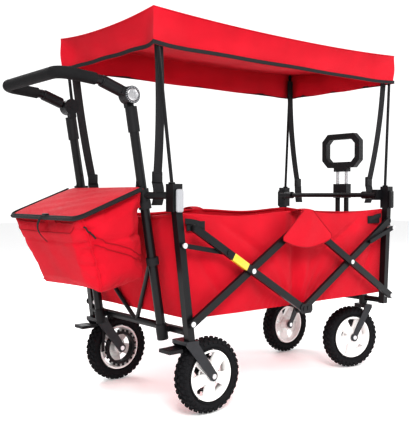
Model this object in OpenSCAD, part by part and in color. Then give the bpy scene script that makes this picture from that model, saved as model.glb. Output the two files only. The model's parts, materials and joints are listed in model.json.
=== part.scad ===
// Folding pull wagon with a fabric tub, a box canopy, a push handle and a telescopic pull handle.
// +X runs from the push end to the pull end, the near side is -Y, and the ground is z = 0.

/* [Folding sides] */
// Distance between the end pivots of a scissor bar
bar_pitch = 466; // [420:1:520]
// Angle of the scissor bars above the ground when the wagon is open, in degrees
open_angle = 31.3; // [29:0.1:34]
// Angle of the scissor bars when the wagon is folded, in degrees
shut_angle = 75; // [70:1:76]
// Distance between the two pivots of a centre plate
plate_pitch = 16; // [15.5:0.5:20]
// Height of a scissor bar's flat tube
bar_h = 20; // [16:1:22]
// Thickness of a scissor bar's flat tube
bar_t = 10; // [8:1:12]
// Wall of every metal tube
wall = 1.4; // [1:0.1:2]
// Height of the pivots at the foot of the corner posts
pivot_z = 245; // [243:1:262]
// Radius of the rivets and pins of the side frames
pin_r = 4; // [3:0.5:4.5]

/* [Corner posts] */
// Side of the square post tube
post_w = 20; // [18:1:22]
// Distance between the near and far post centres
post_track = 470; // [440:1:540]
// Height of the post tops
post_top = 575; // [540:1:620]
// Height of the push-end post feet
push_foot_z = 200; // [200:1:202]
// Height of the pull-end post feet
pull_foot_z = 217; // [216:1:219]
// Outward lean of the push-end posts, in degrees
push_lean = 7; // [4:0.5:9]
// Outward lean of the pull-end posts, in degrees
pull_lean = 3.2; // [2:0.1:4]

/* [Wheels] */
// Diameter of all four wheels
wheel_d = 200; // [190:1:200]
// Width of a tyre
tyre_w = 44; // [36:1:44]
// Outside radius of a rim
rim_r = 67; // [62:1:72]
// Number of rim spokes
spokes = 5; // [3:1:8]
// Radius of the axle sleeve that a hub turns on
axle_r = 6; // [5:0.5:8]
// Distance of the rear axles inward from the push-end pivots
rear_axle_in = 75; // [70:1:85]
// Distance between the two rear wheels' mid planes
rear_track = 442; // [436:1:450]
// Distance between the two caster stems
caster_track = 310; // [290:1:312]
// Distance of a caster axle behind its stem
caster_trail = 55; // [45:1:60]
// Resting turn of the near caster about its stem, in degrees
near_turn = -15; // [-30:1:30]
// Teeth on a brake ring
brake_teeth = 20; // [12:4:28]
// Outside radius of a brake ring
brake_ring_r = 56; // [54:1:57]

/* [Canopy] */
// Height of the canopy's top
canopy_top = 1030; // [980:1:1080]
// Depth of the canopy's valance
valance = 96; // [70:1:110]
// Distance the canopy reaches past the push-end pivots
canopy_push = 106; // [104:1:112]
// Distance the canopy reaches past the pull-end pivots
canopy_pull = 54; // [52:1:60]
// Half width of the canopy
canopy_half_w = 236; // [234:1:245]
// Radius of a canopy pole
pole_r = 4.5; // [3:0.5:6]

/* [Tub] */
// Height of the tub's top edge
tub_top = 521; // [480:1:524]
// Thickness of the tub's padded fabric walls
panel_t = 6; // [4:0.5:8]
// Thickness of the padded floor mat
mat_t = 8; // [6:0.5:10]

/* [Push handle] */
// Radius of the push handle's tubes
grip_tube_r = 12; // [10:0.5:13]
// Distance between the two push handle uprights
upright_track = 308; // [280:1:320]
// Distance of the upright feet outward from the push-end pivots
upright_out = 20; // [19:0.5:22]
// Height of the handle's hinges
knuckle_z = 819; // [780:1:860]
// Outward lean of the uprights, in degrees
upright_lean = 9.36; // [9:0.1:11]
// Distance from the hinges to the middle of the hand grip, along the ground
handle_reach = 193; // [170:1:220]
// Outside radius of the foam grip
foam_r = 15; // [14:0.5:18]

/* [Pull handle] */
// Distance of the pull handle's hinge outward from the pull-end pivots
pull_out = 86; // [80:1:100]
// Height of the pull handle's hinge
pull_hinge_z = 240; // [238:1:250]
// Top of the telescope's outer sleeve
sleeve_top = 610; // [560:1:640]
// Distance between the two telescope tubes
twin_pitch = 39; // [34:1:48]
// Outside height of the hand loop
loop_h = 121; // [105:1:140]
// Outside width of the hand loop
loop_w = 168; // [140:1:190]

/* [Storage bag] */
// Width of the storage bag
bag_w = 380; // [320:1:400]
// Wall of the storage bag
bag_wall = 3; // [2:0.5:4]

/* [Hidden] */
$fn = 48;

fit = 0.05;      // radial clearance of a pin that turns in its bore
gap = 0.4;       // clearance between layers that slide past each other
head_r = 7;      // rivet heads
head_t = 1.8;
plate_t = 2;     // centre plates
soft = 0.5;      // clearance round fabric pieces

// Side layers, outward from the post's outer face
post_y = post_track / 2;
post_in = post_y - post_w / 2;
post_out = post_y + post_w / 2;
layer_a = post_out + plate_t;
layer_b = layer_a + bar_t + 0.6;
plate_out_y = layer_b + bar_t + gap;
side_out = plate_out_y + plate_t + head_t;

// Length of the open side frame and the two ends of it, about the middle of the whole wagon
span = 2 * bar_pitch * cos(open_angle) + plate_pitch;
ear_r = 9;
handle_x = upright_out + (knuckle_z - push_foot_z) * tan(upright_lean);
low_x = handle_x + handle_reach + foam_r;
high_x = span + pull_out + ear_r;
px = (low_x - high_x) / 2;
qx = px + span;
rise = bar_pitch * sin(open_angle);
mid_a = px + bar_pitch * cos(open_angle);
mid_b = mid_a + plate_pitch;
mid_x = (mid_a + mid_b) / 2;
top_pivot_z = pivot_z + rise;

function push_x(z) = px - (z - pivot_z) * tan(push_lean);
function pull_x(z) = qx + (z - pivot_z) * tan(pull_lean);
function upright_x(z) = px - upright_out - (z - push_foot_z) * tan(upright_lean);

// Links: fixed pivots on the posts, and their reach down the bars, so that they close open and folded
push_link_z = 444;
pull_link_z = 464;
function link_reach(post_offset, z) =
    let (open_k = rise + pivot_z - z, shut_k = bar_pitch * sin(shut_angle) + pivot_z - z,
         open_c = cos(open_angle), open_s = sin(open_angle), shut_c = cos(shut_angle), shut_s = sin(shut_angle))
    (shut_k * shut_k - open_k * open_k)
    / (2 * post_offset * (open_c - shut_c) + 2 * (shut_s * shut_k - open_s * open_k));
push_reach = link_reach(px - push_x(push_link_z), push_link_z);
pull_reach = link_reach(pull_x(pull_link_z) - qx, pull_link_z);
link_h = 12;
link_t = bar_t - 2;

wheel_r = wheel_d / 2;
bead_half = tyre_w / 2 - 4;

// Forks: the arms' distances from the wheel's middle
arm_t = 4;
arm_gap = tyre_w / 2 + 2;
brake_arm_gap = tyre_w / 2 + 7;
rear_crown_x = push_x(push_foot_z);
rear_crown_t = 10;
caster_crown_z = 205;
caster_boss_z = 209;
stem_r = 5;

// Cross tubes of the two ends
push_bar_x = px + 2;
push_bar_z = 222;
push_bar_r = 10;
pull_bar_x = qx;
pull_bar_z = 226;
pull_bar_r = 9;
top_bar_z = 570;
top_bar_r = 7.5;
top_bar_x = pull_x(top_bar_z) - 30;

// Tub layers
fabric_z = pivot_z + 7;
floor_t = 3;
mat_z = fabric_z + floor_t + soft;
side_outer = post_in - soft - head_t;
side_in = side_outer - panel_t;

clamp_z = 528;
clamp_top = 598;
clamp_half = 12;
canopy_t = 4;
cap_r = pole_r + 1.5;
pole_top = canopy_top - canopy_t - soft - cap_r;
pole_y = post_y - 9;

// ---------------------------------------------------------------- helpers

module both() {
    children();
    mirror([0, 1, 0]) children();
}

module prism_y(points, y0, y1) {
    translate([0, y1, 0]) rotate([90, 0, 0]) linear_extrude(y1 - y0) polygon(points);
}

module pin(x, z, y0, y1, r) {
    translate([x, y0, z]) rotate([-90, 0, 0]) cylinder(h = y1 - y0, r = r);
}

module rod(a, b, r) {
    d = b - a;
    translate(a) rotate([0, acos(d[2] / norm(d)), atan2(d[1], d[0])]) cylinder(h = norm(d), r = r);
}

module pipe(a, b, r) {
    u = (b - a) / norm(b - a);
    difference() {
        rod(a, b, r);
        rod(a - u, b + u, r - wall);
    }
}

// Square tube leaning in the XZ plane, with level ends
module post(x0, z0, x1, z1) {
    slope = (x1 - x0) / (z1 - z0);
    half = post_w / 2 / cos(atan(slope));
    bore = half * (post_w - 2 * wall) / post_w;
    difference() {
        prism_y([[x0 - half, z0], [x0 + half, z0], [x1 + half, z1], [x1 - half, z1]],
                post_in, post_out);
        prism_y([[x0 - slope - bore, z0 - 1], [x0 - slope + bore, z0 - 1],
                 [x1 + slope + bore, z1 + 1], [x1 + slope - bore, z1 + 1]],
                post_in + wall, post_out - wall);
    }
}

// Flat tube with round ends, from a pivot at (x, z), with pin holes at the given distances
module bar(x, z, angle, y, length, h, t, holes) {
    translate([x, y, z]) rotate([0, -angle, 0]) difference() {
        union() {
            translate([0, 0, -h / 2]) cube([length, t, h]);
            pin(0, 0, 0, t, h / 2);
            pin(length, 0, 0, t, h / 2);
        }
        translate([-h, wall, wall - h / 2]) cube([length + 2 * h, t - 2 * wall, h - 2 * wall]);
        for (d = holes) pin(d, 0, -1, t + 1, pin_r + fit);
    }
}

// Pin along Y with a head at each end
module rivet(x, z, y0, y1) {
    pin(x, z, y0 - head_t, y0, head_r);
    pin(x, z, y0, y1, pin_r);
    pin(x, z, y1, y1 + head_t, head_r);
}

module washer(x, z, y0, y1, r) {
    difference() {
        pin(x, z, y0, y1, r);
        pin(x, z, y0 - 1, y1 + 1, pin_r + fit);
    }
}

// ---------------------------------------------------------------- push-end frame

module push_posts() color("#26272b") both() difference() {
    post(push_x(push_foot_z), push_foot_z, push_x(post_top), post_top);
    pin(px, pivot_z, post_in - 1, post_out + 1, pin_r + fit);
    pin(push_x(push_link_z), push_link_z, post_in - 1, post_out + 1, pin_r + fit);
}

brace_top = 414;
module push_crossbar() color("#26272b") difference() {
    union() {
        translate([push_bar_x, 0, push_bar_z]) rotate([90, 0, 0])
            cylinder(h = 2 * post_in, r = push_bar_r, center = true);
        both() rod([push_bar_x - 2, 6, push_bar_z + 4],
                   [upright_x(brace_top), upright_track / 2, brace_top], 6);
    }
    translate([push_bar_x, 0, push_bar_z]) rotate([90, 0, 0])
        cylinder(h = 2 * post_in + 2, r = push_bar_r - wall, center = true);
    both() rod([upright_x(push_foot_z - 40), upright_track / 2, push_foot_z - 40],
               [upright_x(500), upright_track / 2, 500], grip_tube_r + fit);
}

// Fitting over a post top: a sleeve, and an arm to a ring round the handle's upright
ring_z = 552;
ring_h = 34;
module push_clamps() color("#1d1d1f") both() difference() {
    union() {
        translate([push_x(post_top) - clamp_half - 3, post_in - 8, clamp_z])
            cube([2 * clamp_half + 6, post_w + 8 + 1.4, clamp_top - clamp_z]);
        rod([upright_x(ring_z), upright_track / 2, ring_z],
            [upright_x(ring_z + ring_h), upright_track / 2, ring_z + ring_h], grip_tube_r + 4);
        rod([upright_x(ring_z + 17), upright_track / 2 + 10, ring_z + 17],
            [push_x(ring_z + 17), post_in + 2, ring_z + 17], 9);
    }
    prism_y([[push_x(clamp_z - 1) - post_w / 2 / cos(push_lean), clamp_z - 1],
             [push_x(clamp_z - 1) + post_w / 2 / cos(push_lean), clamp_z - 1],
             [push_x(post_top) + post_w / 2 / cos(push_lean), post_top],
             [push_x(post_top) - post_w / 2 / cos(push_lean), post_top]], post_in, post_out);
    rod([upright_x(ring_z - 20), upright_track / 2, ring_z - 20],
        [upright_x(ring_z + ring_h + 20), upright_track / 2, ring_z + ring_h + 20], grip_tube_r + fit);
    rod([push_x(post_top), pole_y, post_top], [push_x(clamp_top + 20), pole_y, clamp_top + 20], pole_r + fit);
}

module push_poles() color("silver") both() union() {
    rod([push_x(post_top + 2), pole_y, post_top + 2], [push_x(pole_top), pole_y, pole_top], pole_r);
    translate([push_x(pole_top), pole_y, pole_top]) sphere(r = cap_r);
}

// Pins of the foot pivots and of the links
module push_pins() color("#e4e4e6") both() {
    rivet(px, pivot_z, post_in, layer_a + bar_t + gap);
    rivet(push_x(push_link_z), push_link_z, post_in, layer_a + link_t + gap);
}

// ---------------------------------------------------------------- rear wheels' forks

function arm_outline(x0, x1, z0, ax, r) = [[x0, z0], [x1, z0], [ax + r * 0.94, wheel_r + r * 0.34],
                                           [ax - r * 0.94, wheel_r - r * 0.34]];

module fork_arm(x0, x1, z0, ax, y) difference() {
    union() {
        prism_y(arm_outline(x0, x1, z0, ax, 13), y, y + arm_t);
        pin(ax, wheel_r, y, y + arm_t, 13);
    }
    pin(ax, wheel_r, y - 1, y + arm_t + 1, pin_r + fit);
}

rear_y = rear_track / 2;
crown_x0 = rear_crown_x - 20;
crown_x1 = rear_crown_x + 20;
lever_x = rear_crown_x + 10;
lever_z = push_foot_z - rear_crown_t - 8;

module rear_forks() color("#3c3d41") both() {
    union() {
        translate([crown_x0, rear_y - brake_arm_gap - arm_t, push_foot_z - rear_crown_t])
            cube([40, brake_arm_gap + arm_gap + 2 * arm_t, rear_crown_t]);
        for (y = [rear_y + arm_gap, rear_y - brake_arm_gap - arm_t])
            fork_arm(crown_x0, crown_x1, push_foot_z - rear_crown_t, px + rear_axle_in, y);
        pin(lever_x, lever_z, rear_y - brake_arm_gap, rear_y - tyre_w / 2 - 0.6, 3);
    }
}

// Bolt with heads outside the arms and the sleeve that the hub turns on
module axle(inner, outer) {
    rotate_extrude() polygon([
        [0, -inner - arm_t - 3], [head_r, -inner - arm_t - 3], [head_r, -inner - arm_t],
        [pin_r, -inner - arm_t], [pin_r, -inner], [axle_r, -inner], [axle_r, outer], [pin_r, outer],
        [pin_r, outer + arm_t], [head_r, outer + arm_t], [head_r, outer + arm_t + 3],
        [0, outer + arm_t + 3]]);
}

module rear_axles() color("silver") both()
    translate([px + rear_axle_in, rear_y, wheel_r]) rotate([-90, 0, 0]) axle(brake_arm_gap, arm_gap);

// ---------------------------------------------------------------- wheels, drawn about +Z with the inner side down

module tyre() color("#1b1b1c") rotate_extrude($fn = 96) polygon([
    [rim_r, -bead_half], [rim_r + 5, -tyre_w / 2 + 1], [wheel_r - 10, -tyre_w / 2],
    [wheel_r - 3, -tyre_w / 2 + 4], [wheel_r, -tyre_w / 2 + 12], [wheel_r, tyre_w / 2 - 12],
    [wheel_r - 3, tyre_w / 2 - 4], [wheel_r - 10, tyre_w / 2], [rim_r + 5, tyre_w / 2 - 1],
    [rim_r, bead_half]]);

hub_r = 17;
spoke_w = 15;
spoke_t = 14;
module rim() color("#f2f2f0") difference() {
    union() {
        rotate_extrude($fn = 96) polygon([
            [rim_r - 7, -bead_half], [rim_r - fit, -bead_half], [rim_r - fit, bead_half],
            [rim_r - 7, bead_half],
            [rim_r - 10, 6], [rim_r - 10, -6]]);
        cylinder(h = tyre_w - 6, r = hub_r, center = true);
        for (k = [0 : spokes - 1]) rotate([0, 0, 90 + k * 360 / spokes])
            translate([hub_r - 4, 0, -spoke_t / 2]) linear_extrude(spoke_t)
                polygon([[0, -spoke_w / 2 - 2], [rim_r - 11 - hub_r + 4, -spoke_w / 2 + 1],
                         [rim_r - 11 - hub_r + 7, -spoke_w / 2 - 1], [rim_r - 11 - hub_r + 7, spoke_w / 2 + 1],
                         [rim_r - 11 - hub_r + 4, spoke_w / 2 - 1], [0, spoke_w / 2 + 2]]);
    }
    cylinder(h = tyre_w + 2, r = axle_r + fit, center = true);
}

// Toothed ring on a drum that stands on the spokes, clear of the hub
module brake_ring() color("#202022") union() {
    difference() {
        translate([0, 0, -tyre_w / 2 - 5.5]) cylinder(h = 5, r = brake_ring_r - 6);
        translate([0, 0, -tyre_w / 2 - 6]) cylinder(h = 6, r = brake_ring_r - 14);
    }
    difference() {
        translate([0, 0, -tyre_w / 2 - 1]) cylinder(h = tyre_w / 2 + 1 - spoke_t / 2, r = brake_ring_r - 11);
        translate([0, 0, -tyre_w / 2 - 2]) cylinder(h = tyre_w, r = brake_ring_r - 14);
    }
    for (k = [0 : brake_teeth - 1]) rotate([0, 0, (k + 0.5) * 360 / brake_teeth])
        translate([brake_ring_r - 7, -3, -tyre_w / 2 - 5.5]) cube([7, 6, 5]);
}

module rear_wheel(side) translate([px + rear_axle_in, side * rear_y, wheel_r])
    rotate([-90 * side, 0, 0]) children();

// ---------------------------------------------------------------- brake levers

// A pedal outside the fork and an arm down to a pawl beside the ring's teeth
pawl_x = px + rear_axle_in - brake_ring_r - 3;
module brake_lever() color("#202022") difference() {
    y0 = rear_y - brake_arm_gap + 1.2;
    y1 = rear_y - tyre_w / 2 - 0.8;
    union() {
        pin(lever_x, lever_z, y0, y1, 7);
        prism_y([[lever_x - 6, lever_z + 3], [lever_x + 6, lever_z - 3], [pawl_x - 1, wheel_r + 6],
                 [pawl_x, wheel_r + 2.4], [pawl_x, wheel_r - 2.4], [pawl_x - 9, wheel_r - 4]], y0, y1);
        prism_y([[lever_x, lever_z + 3.5], [lever_x, lever_z - 5], [crown_x0 - 40, lever_z - 7],
                 [crown_x0 - 40, lever_z - 1]], y0, y1);
        translate([crown_x0 - 46, y0, lever_z - 9]) cube([42, tyre_w + 2, 9]);
    }
    pin(lever_x, lever_z, y0 - 1, y1 + 1, 3 + fit);
}

module near_brake_pedal() mirror([0, 1, 0]) brake_lever();
module far_brake_pedal() brake_lever();

// ---------------------------------------------------------------- casters, drawn about the far stem

module caster_fork() color("#5b5d62") union() {
    translate([-15, -arm_gap - arm_t, caster_crown_z - 10]) cube([30, 2 * (arm_gap + arm_t), 10]);
    translate([0, 0, caster_crown_z - 4]) cylinder(h = pull_bar_z + 9 - caster_crown_z, r = stem_r);
    translate([0, 0, caster_crown_z]) cylinder(h = caster_boss_z - gap - caster_crown_z, r = 11);
    fork_arm(-15, 15, caster_crown_z - 10, -caster_trail, arm_gap);
    fork_arm(-15, 15, caster_crown_z - 10, -caster_trail, -arm_gap - arm_t);
}

module on_caster(side, turn) translate([qx, side * caster_track / 2, 0]) rotate([0, 0, turn]) children();

module caster_wheel() translate([-caster_trail, 0, wheel_r]) rotate([-90, 0, 0]) children();

// ---------------------------------------------------------------- pull-end frame

module pull_posts() color("#26272b") both() difference() {
    post(pull_x(pull_foot_z), pull_foot_z, pull_x(post_top), post_top);
    pin(qx, pivot_z, post_in - 1, post_out + 1, pin_r + fit);
    pin(pull_x(pull_link_z), pull_link_z, post_in - 1, post_out + 1, pin_r + fit);
}

module pull_crossbar() color("#26272b") difference() {
    union() {
        translate([pull_bar_x, 0, pull_bar_z]) rotate([90, 0, 0])
            cylinder(h = 2 * post_in, r = pull_bar_r, center = true);
        both() translate([qx, caster_track / 2, caster_boss_z])
            cylinder(h = pull_bar_z + pull_bar_r + 1.5 - caster_boss_z, r = 14);
    }
    both() translate([qx, caster_track / 2, caster_boss_z - 1])
        cylinder(h = pull_bar_z + 7 - caster_boss_z, r = stem_r + fit);
}

module pull_top_bar() color("#2f3034") translate([top_bar_x, 0, top_bar_z]) rotate([90, 0, 0])
    difference() {
        cylinder(h = 2 * (post_in - 40), r = top_bar_r, center = true);
        cylinder(h = 2 * post_in, r = top_bar_r - wall, center = true);
    }

module pull_clamps() color("#1d1d1f") both() difference() {
    union() {
        translate([pull_x(post_top) - clamp_half, post_in - 8, clamp_z])
            cube([2 * clamp_half + 3, post_w + 8 + 1.4, clamp_top - clamp_z]);
        translate([top_bar_x, post_in - 65, top_bar_z]) rotate([-90, 0, 0]) cylinder(h = 56, r = top_bar_r + 5);
        translate([top_bar_x - 9, post_in - 22, top_bar_z - 16]) cube([36, 20, 34]);
    }
    prism_y([[pull_x(clamp_z - 1) - post_w / 2 / cos(pull_lean), clamp_z - 1],
             [pull_x(clamp_z - 1) + post_w / 2 / cos(pull_lean), clamp_z - 1],
             [pull_x(post_top) + post_w / 2 / cos(pull_lean), post_top],
             [pull_x(post_top) - post_w / 2 / cos(pull_lean), post_top]], post_in, post_out);
    translate([top_bar_x, post_in - 70, top_bar_z]) rotate([-90, 0, 0]) cylinder(h = 30, r = top_bar_r + fit);
    rod([pull_x(post_top), pole_y, post_top], [pull_x(clamp_top + 20), pole_y, clamp_top + 20], pole_r + fit);
}

module pull_poles() color("silver") both() union() {
    rod([pull_x(post_top + 2), pole_y, post_top + 2], [pull_x(pole_top), pole_y, pole_top], pole_r);
    translate([pull_x(pole_top), pole_y, pole_top]) sphere(r = cap_r);
}

// The outer bar stands off the post by a bush on each foot pin, and so does the link
module pull_pins() color("#e4e4e6") both() {
    rivet(qx, pivot_z, post_in, layer_b + bar_t + gap);
    washer(qx, pivot_z, post_out, layer_b - gap, head_r);
    rivet(pull_x(pull_link_z), pull_link_z, post_in, layer_b + link_t + gap);
    washer(pull_x(pull_link_z), pull_link_z, post_out, layer_b - gap, head_r);
}

// ---------------------------------------------------------------- scissor sides

module rear_bars() color("#303136") both()
    bar(px, pivot_z, open_angle, layer_a, bar_pitch, bar_h, bar_t, [0, bar_pitch / 2, bar_pitch]);

module rear_bar_pins() color("#e4e4e6") both()
    rivet((px + mid_a) / 2, pivot_z + rise / 2, layer_a - gap, layer_b + bar_t + gap);

module rear_cross_bars() color("#303136") both() {
    bar(px, top_pivot_z, -open_angle, layer_b, bar_pitch, bar_h, bar_t, [0, push_reach, bar_pitch / 2, bar_pitch]);
    for (d = [0, push_reach])
        rivet(px + d * cos(open_angle), top_pivot_z - d * sin(open_angle), layer_b + 0.1, layer_b + bar_t + 0.1);
}

module front_bars() color("#303136") both()
    bar(qx, pivot_z, 180 - open_angle, layer_b, bar_pitch, bar_h, bar_t, [0, bar_pitch / 2, bar_pitch]);

module front_bar_pins() color("#e4e4e6") both()
    rivet((qx + mid_b) / 2, pivot_z + rise / 2, layer_a - gap, layer_b + bar_t + gap);

module front_cross_bars() color("#303136") both()
    bar(qx, top_pivot_z, 180 + open_angle, layer_a, bar_pitch, bar_h, bar_t,
        [0, pull_reach, bar_pitch / 2, bar_pitch]);

// Inner and outer plate with the two pins between them
module centre_plate(z) {
    for (y = [layer_a - gap - plate_t, plate_out_y]) prism_y(
        [[mid_x - 24, z - 7], [mid_x - 17, z - 14], [mid_x + 17, z - 14], [mid_x + 24, z - 7],
         [mid_x + 24, z + 7], [mid_x + 17, z + 14], [mid_x - 17, z + 14], [mid_x - 24, z + 7]], y, y + plate_t);
    for (x = [mid_a, mid_b]) {
        pin(x, z, layer_a - gap - plate_t, plate_out_y + plate_t, pin_r);
        pin(x, z, plate_out_y + plate_t, side_out, head_r);
    }
}

module top_plates() color("#3a3b3f") both() centre_plate(top_pivot_z);

// The lower plates carry a shelf under the floor's edge
module bottom_plates() color("#3a3b3f") both() union() {
    centre_plate(pivot_z);
    translate([mid_x - 22, side_in - 20, fabric_z - soft - 4])
        cube([44, layer_a - gap - side_in + 20, 4]);
}

module push_links() color("#4a4b50") both() {
    x = px + push_reach * cos(open_angle);
    z = top_pivot_z - push_reach * sin(open_angle);
    bar(push_x(push_link_z), push_link_z, atan2(z - push_link_z, x - push_x(push_link_z)), layer_a,
        norm([x - push_x(push_link_z), z - push_link_z]), link_h, link_t, [0]);
}

module pull_links() color("#4a4b50") both() {
    x = qx - pull_reach * cos(open_angle);
    z = top_pivot_z - pull_reach * sin(open_angle);
    bar(pull_x(pull_link_z), pull_link_z, atan2(z - pull_link_z, x - pull_x(pull_link_z)), layer_b,
        norm([x - pull_x(pull_link_z), z - pull_link_z]), link_h, link_t, [0]);
}

// Two halves of the padded floor mat, which gather up with the fabric
mat_in = 10;
module push_mat() color("#8e1020")
    translate([px + mat_in, -side_in + soft, mat_z])
        cube([mid_x - soft - px - mat_in, 2 * (side_in - soft), mat_t]);
module pull_mat() color("#8e1020")
    translate([mid_x + soft, -side_in + soft, mat_z])
        cube([qx - mat_in - mid_x - soft, 2 * (side_in - soft), mat_t]);

// Fabric flaps over the top pivots: a strip across the bars and a rounded apron outside them
apron_y = side_out + gap;
apron_half = 100;
module pivot_covers() color("#d81f38") both() union() {
    prism_y([for (k = [0 : 12]) let (a = 180 + k * 15)
                [mid_x + apron_half * cos(a), tub_top - 20 + (tub_top - 20 - 420) * sin(a)],
             [mid_x + apron_half, tub_top + 9], [mid_x - apron_half, tub_top + 9]], apron_y, apron_y + 2.5);
    translate([mid_x - apron_half, side_outer + soft, tub_top + 6])
        cube([2 * apron_half, apron_y + 2.5 - side_outer - soft, 3]);
}

// ---------------------------------------------------------------- tub and canopy

// A padded end wall that leans with its posts
module end_panel(foot_x, top_x, inward) {
    x0 = inward > 0 ? 0 : -panel_t;
    prism_y([[foot_x + x0, mat_z], [foot_x + x0 + panel_t, mat_z],
             [top_x + x0 + panel_t, tub_top], [top_x + x0, tub_top]], -side_in + soft, side_in - soft);
}

module push_panel() color("#c81a32") end_panel(push_x(mat_z), push_x(tub_top), 1);
module pull_panel() color("#c81a32") end_panel(pull_x(mat_z), pull_x(tub_top), -1);

// Two long walls and the floor, in one piece of fabric
module tub_body() color("#d81f38") union() {
    both() prism_y([[push_x(fabric_z), fabric_z], [pull_x(fabric_z), fabric_z],
                    [pull_x(tub_top), tub_top], [push_x(tub_top), tub_top]], side_in, side_outer);
    translate([px + 12, -side_in, fabric_z]) cube([span - 24, 2 * side_in, floor_t]);
}

module canopy() color("#e02440") {
    x0 = px - canopy_push;
    x1 = qx + canopy_pull;
    difference() {
        translate([x0, -canopy_half_w, canopy_top - valance])
            cube([x1 - x0, 2 * canopy_half_w, valance]);
        translate([x0 + 3, -canopy_half_w + 3, canopy_top - valance - 1])
            cube([x1 - x0 - 6, 2 * canopy_half_w - 6, valance + 1 - canopy_t]);
    }
}

// ---------------------------------------------------------------- push handle

upright_y = upright_track / 2;
knuckle_x = px - handle_x;
knuckle_r = 22;
knuckle_half = 16;
along_up = [-sin(upright_lean), 0, cos(upright_lean)];
hinge_at = [knuckle_x, upright_y, knuckle_z];
foot_at = [px - upright_out, upright_y, push_foot_z];

module handle_uprights() color("#2b2c30") both()
    pipe(foot_at, hinge_at - 30 * along_up, grip_tube_r);

// Caps over the upright feet, each with a saddle on the cross tube
module handle_feet() color("#1a1a1b") both() difference() {
    union() {
        rod(foot_at - 5 * along_up, foot_at + 36 * along_up, grip_tube_r + 3);
        translate([px - upright_out, upright_y - 12, push_bar_z - 8]) cube([upright_out + 2, 24, 16]);
    }
    rod(foot_at, foot_at + 60 * along_up, grip_tube_r + fit);
    translate([push_bar_x, 0, push_bar_z]) rotate([-90, 0, 0]) cylinder(h = post_in, r = push_bar_r + fit);
}

// Lower half of each hinge: a disc on the inner side and a socket on the upright
module knuckle_hubs() color("#303136") both() union() {
    pin(knuckle_x, knuckle_z, upright_y - knuckle_half, upright_y - 0.3, knuckle_r);
    pin(knuckle_x, knuckle_z, upright_y - knuckle_half - 1, upright_y + knuckle_half + 3, pin_r);
    pin(knuckle_x, knuckle_z, upright_y + knuckle_half + 0.4, upright_y + knuckle_half + 3, 8);
    difference() {
        union() {
            rod(hinge_at - 92 * along_up, hinge_at - 28 * along_up, grip_tube_r + 3);
            translate([knuckle_x, upright_y - knuckle_half, knuckle_z]) rotate([0, -upright_lean, 0])
                translate([-10, 0, -30]) cube([20, knuckle_half - 0.3, 30]);
        }
        rod(hinge_at - 100 * along_up, hinge_at - 30 * along_up, grip_tube_r + fit);
    }
}

// Arms: a socket that rises from the hinge, then a level U of tube whose ends and cross piece wear the foam
arm_rise = 19.4;
elbow_at = 90;
u_rise = 5;
bend_r = 34;
arm_dir = [-cos(arm_rise), 0, sin(arm_rise)];
elbow = hinge_at + elbow_at * arm_dir;
u_length = (handle_reach - elbow_at * cos(arm_rise)) / cos(u_rise);

module ring(r, bore) difference() {
    circle(r = r);
    circle(r = bore);
}

// The U, in its own plane: two arms from a distance past the elbows, two bends and the cross piece.
// The straight stretches are a little slimmer than the bends and run into them.
ease = 0.2;
overlap = 1;
module u_shape(r, bore, start) translate([elbow[0], 0, elbow[2]]) rotate([0, u_rise, 0]) {
    both() translate([-u_length + bend_r, upright_y, 0]) {
        translate([-overlap, 0, 0]) rotate([0, 90, 0])
            linear_extrude(u_length - bend_r - start + overlap) ring(r - ease, bore + ease);
        translate([0, -bend_r, 0]) rotate([0, 0, 90]) rotate_extrude(angle = 90)
            translate([bend_r, 0]) ring(r, bore);
    }
    translate([-u_length, 0, 0]) rotate([90, 0, 0])
        linear_extrude(2 * (upright_y - bend_r + overlap), center = true) ring(r - ease, bore + ease);
}

// Solid end pieces with the bend at the elbow, and the hollow U that butts on them
end_piece = grip_tube_r + 1;
module handle_arms() color("#2b2c30") {
    both() union() {
        rod(hinge_at + 30 * arm_dir, elbow, grip_tube_r);
        translate(elbow) sphere(r = grip_tube_r + 0.5);
        rod(elbow, elbow + end_piece * [-cos(u_rise), 0, sin(u_rise)], grip_tube_r);
    }
    u_shape(grip_tube_r, grip_tube_r - wall, end_piece + fit);
}

module handle_grip() color("#232325") u_shape(foam_r, grip_tube_r + fit, end_piece);

// Upper half of each hinge: a disc on the outer side and a socket on the arm
module knuckle_discs() color("#77797e") both() union() {
    difference() {
        union() {
            pin(knuckle_x, knuckle_z, upright_y + 0.3, upright_y + knuckle_half, knuckle_r);
            translate([knuckle_x, upright_y + 0.3, knuckle_z]) rotate([0, arm_rise, 0])
                translate([-30, 0.5, -10]) cube([23, knuckle_half - 1.3, 20]);
            rod(hinge_at + 28 * arm_dir, hinge_at + 82 * arm_dir, grip_tube_r + 3);
        }
        rod(hinge_at + 30 * arm_dir, hinge_at + 100 * arm_dir, grip_tube_r + fit);
        pin(knuckle_x, knuckle_z, upright_y, upright_y + knuckle_half + 1, pin_r + fit);
    }
}

// ---------------------------------------------------------------- storage bag

// Side outline: the inner side lies along the uprights, clear of the clamp rings
bag_top_z = 596;
bag_low_z = 352;
bag_gap = 5;
function bag_in_x(z) = upright_x(z) - (grip_tube_r + bag_gap) / cos(upright_lean);
bag_outer_top = [px - 291, 522];
bag_outer_low = [px - 208, 322];
lid_t = 8;
bag_half = bag_w / 2;

function bag_out_x(z) = bag_outer_low[0] + (z - bag_outer_low[1]) * (bag_outer_top[0] - bag_outer_low[0])
                        / (bag_outer_top[1] - bag_outer_low[1]);

// The sloping top line, a distance below the bag's own top
function bag_points(inset, down) = [
    [bag_in_x(bag_top_z - down) - inset, bag_top_z - down], [bag_in_x(bag_low_z) - inset, bag_low_z + inset],
    [bag_outer_low[0] + inset, bag_outer_low[1] + inset],
    [bag_out_x(bag_outer_top[1] - down) + inset, bag_outer_top[1] - down]];

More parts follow.
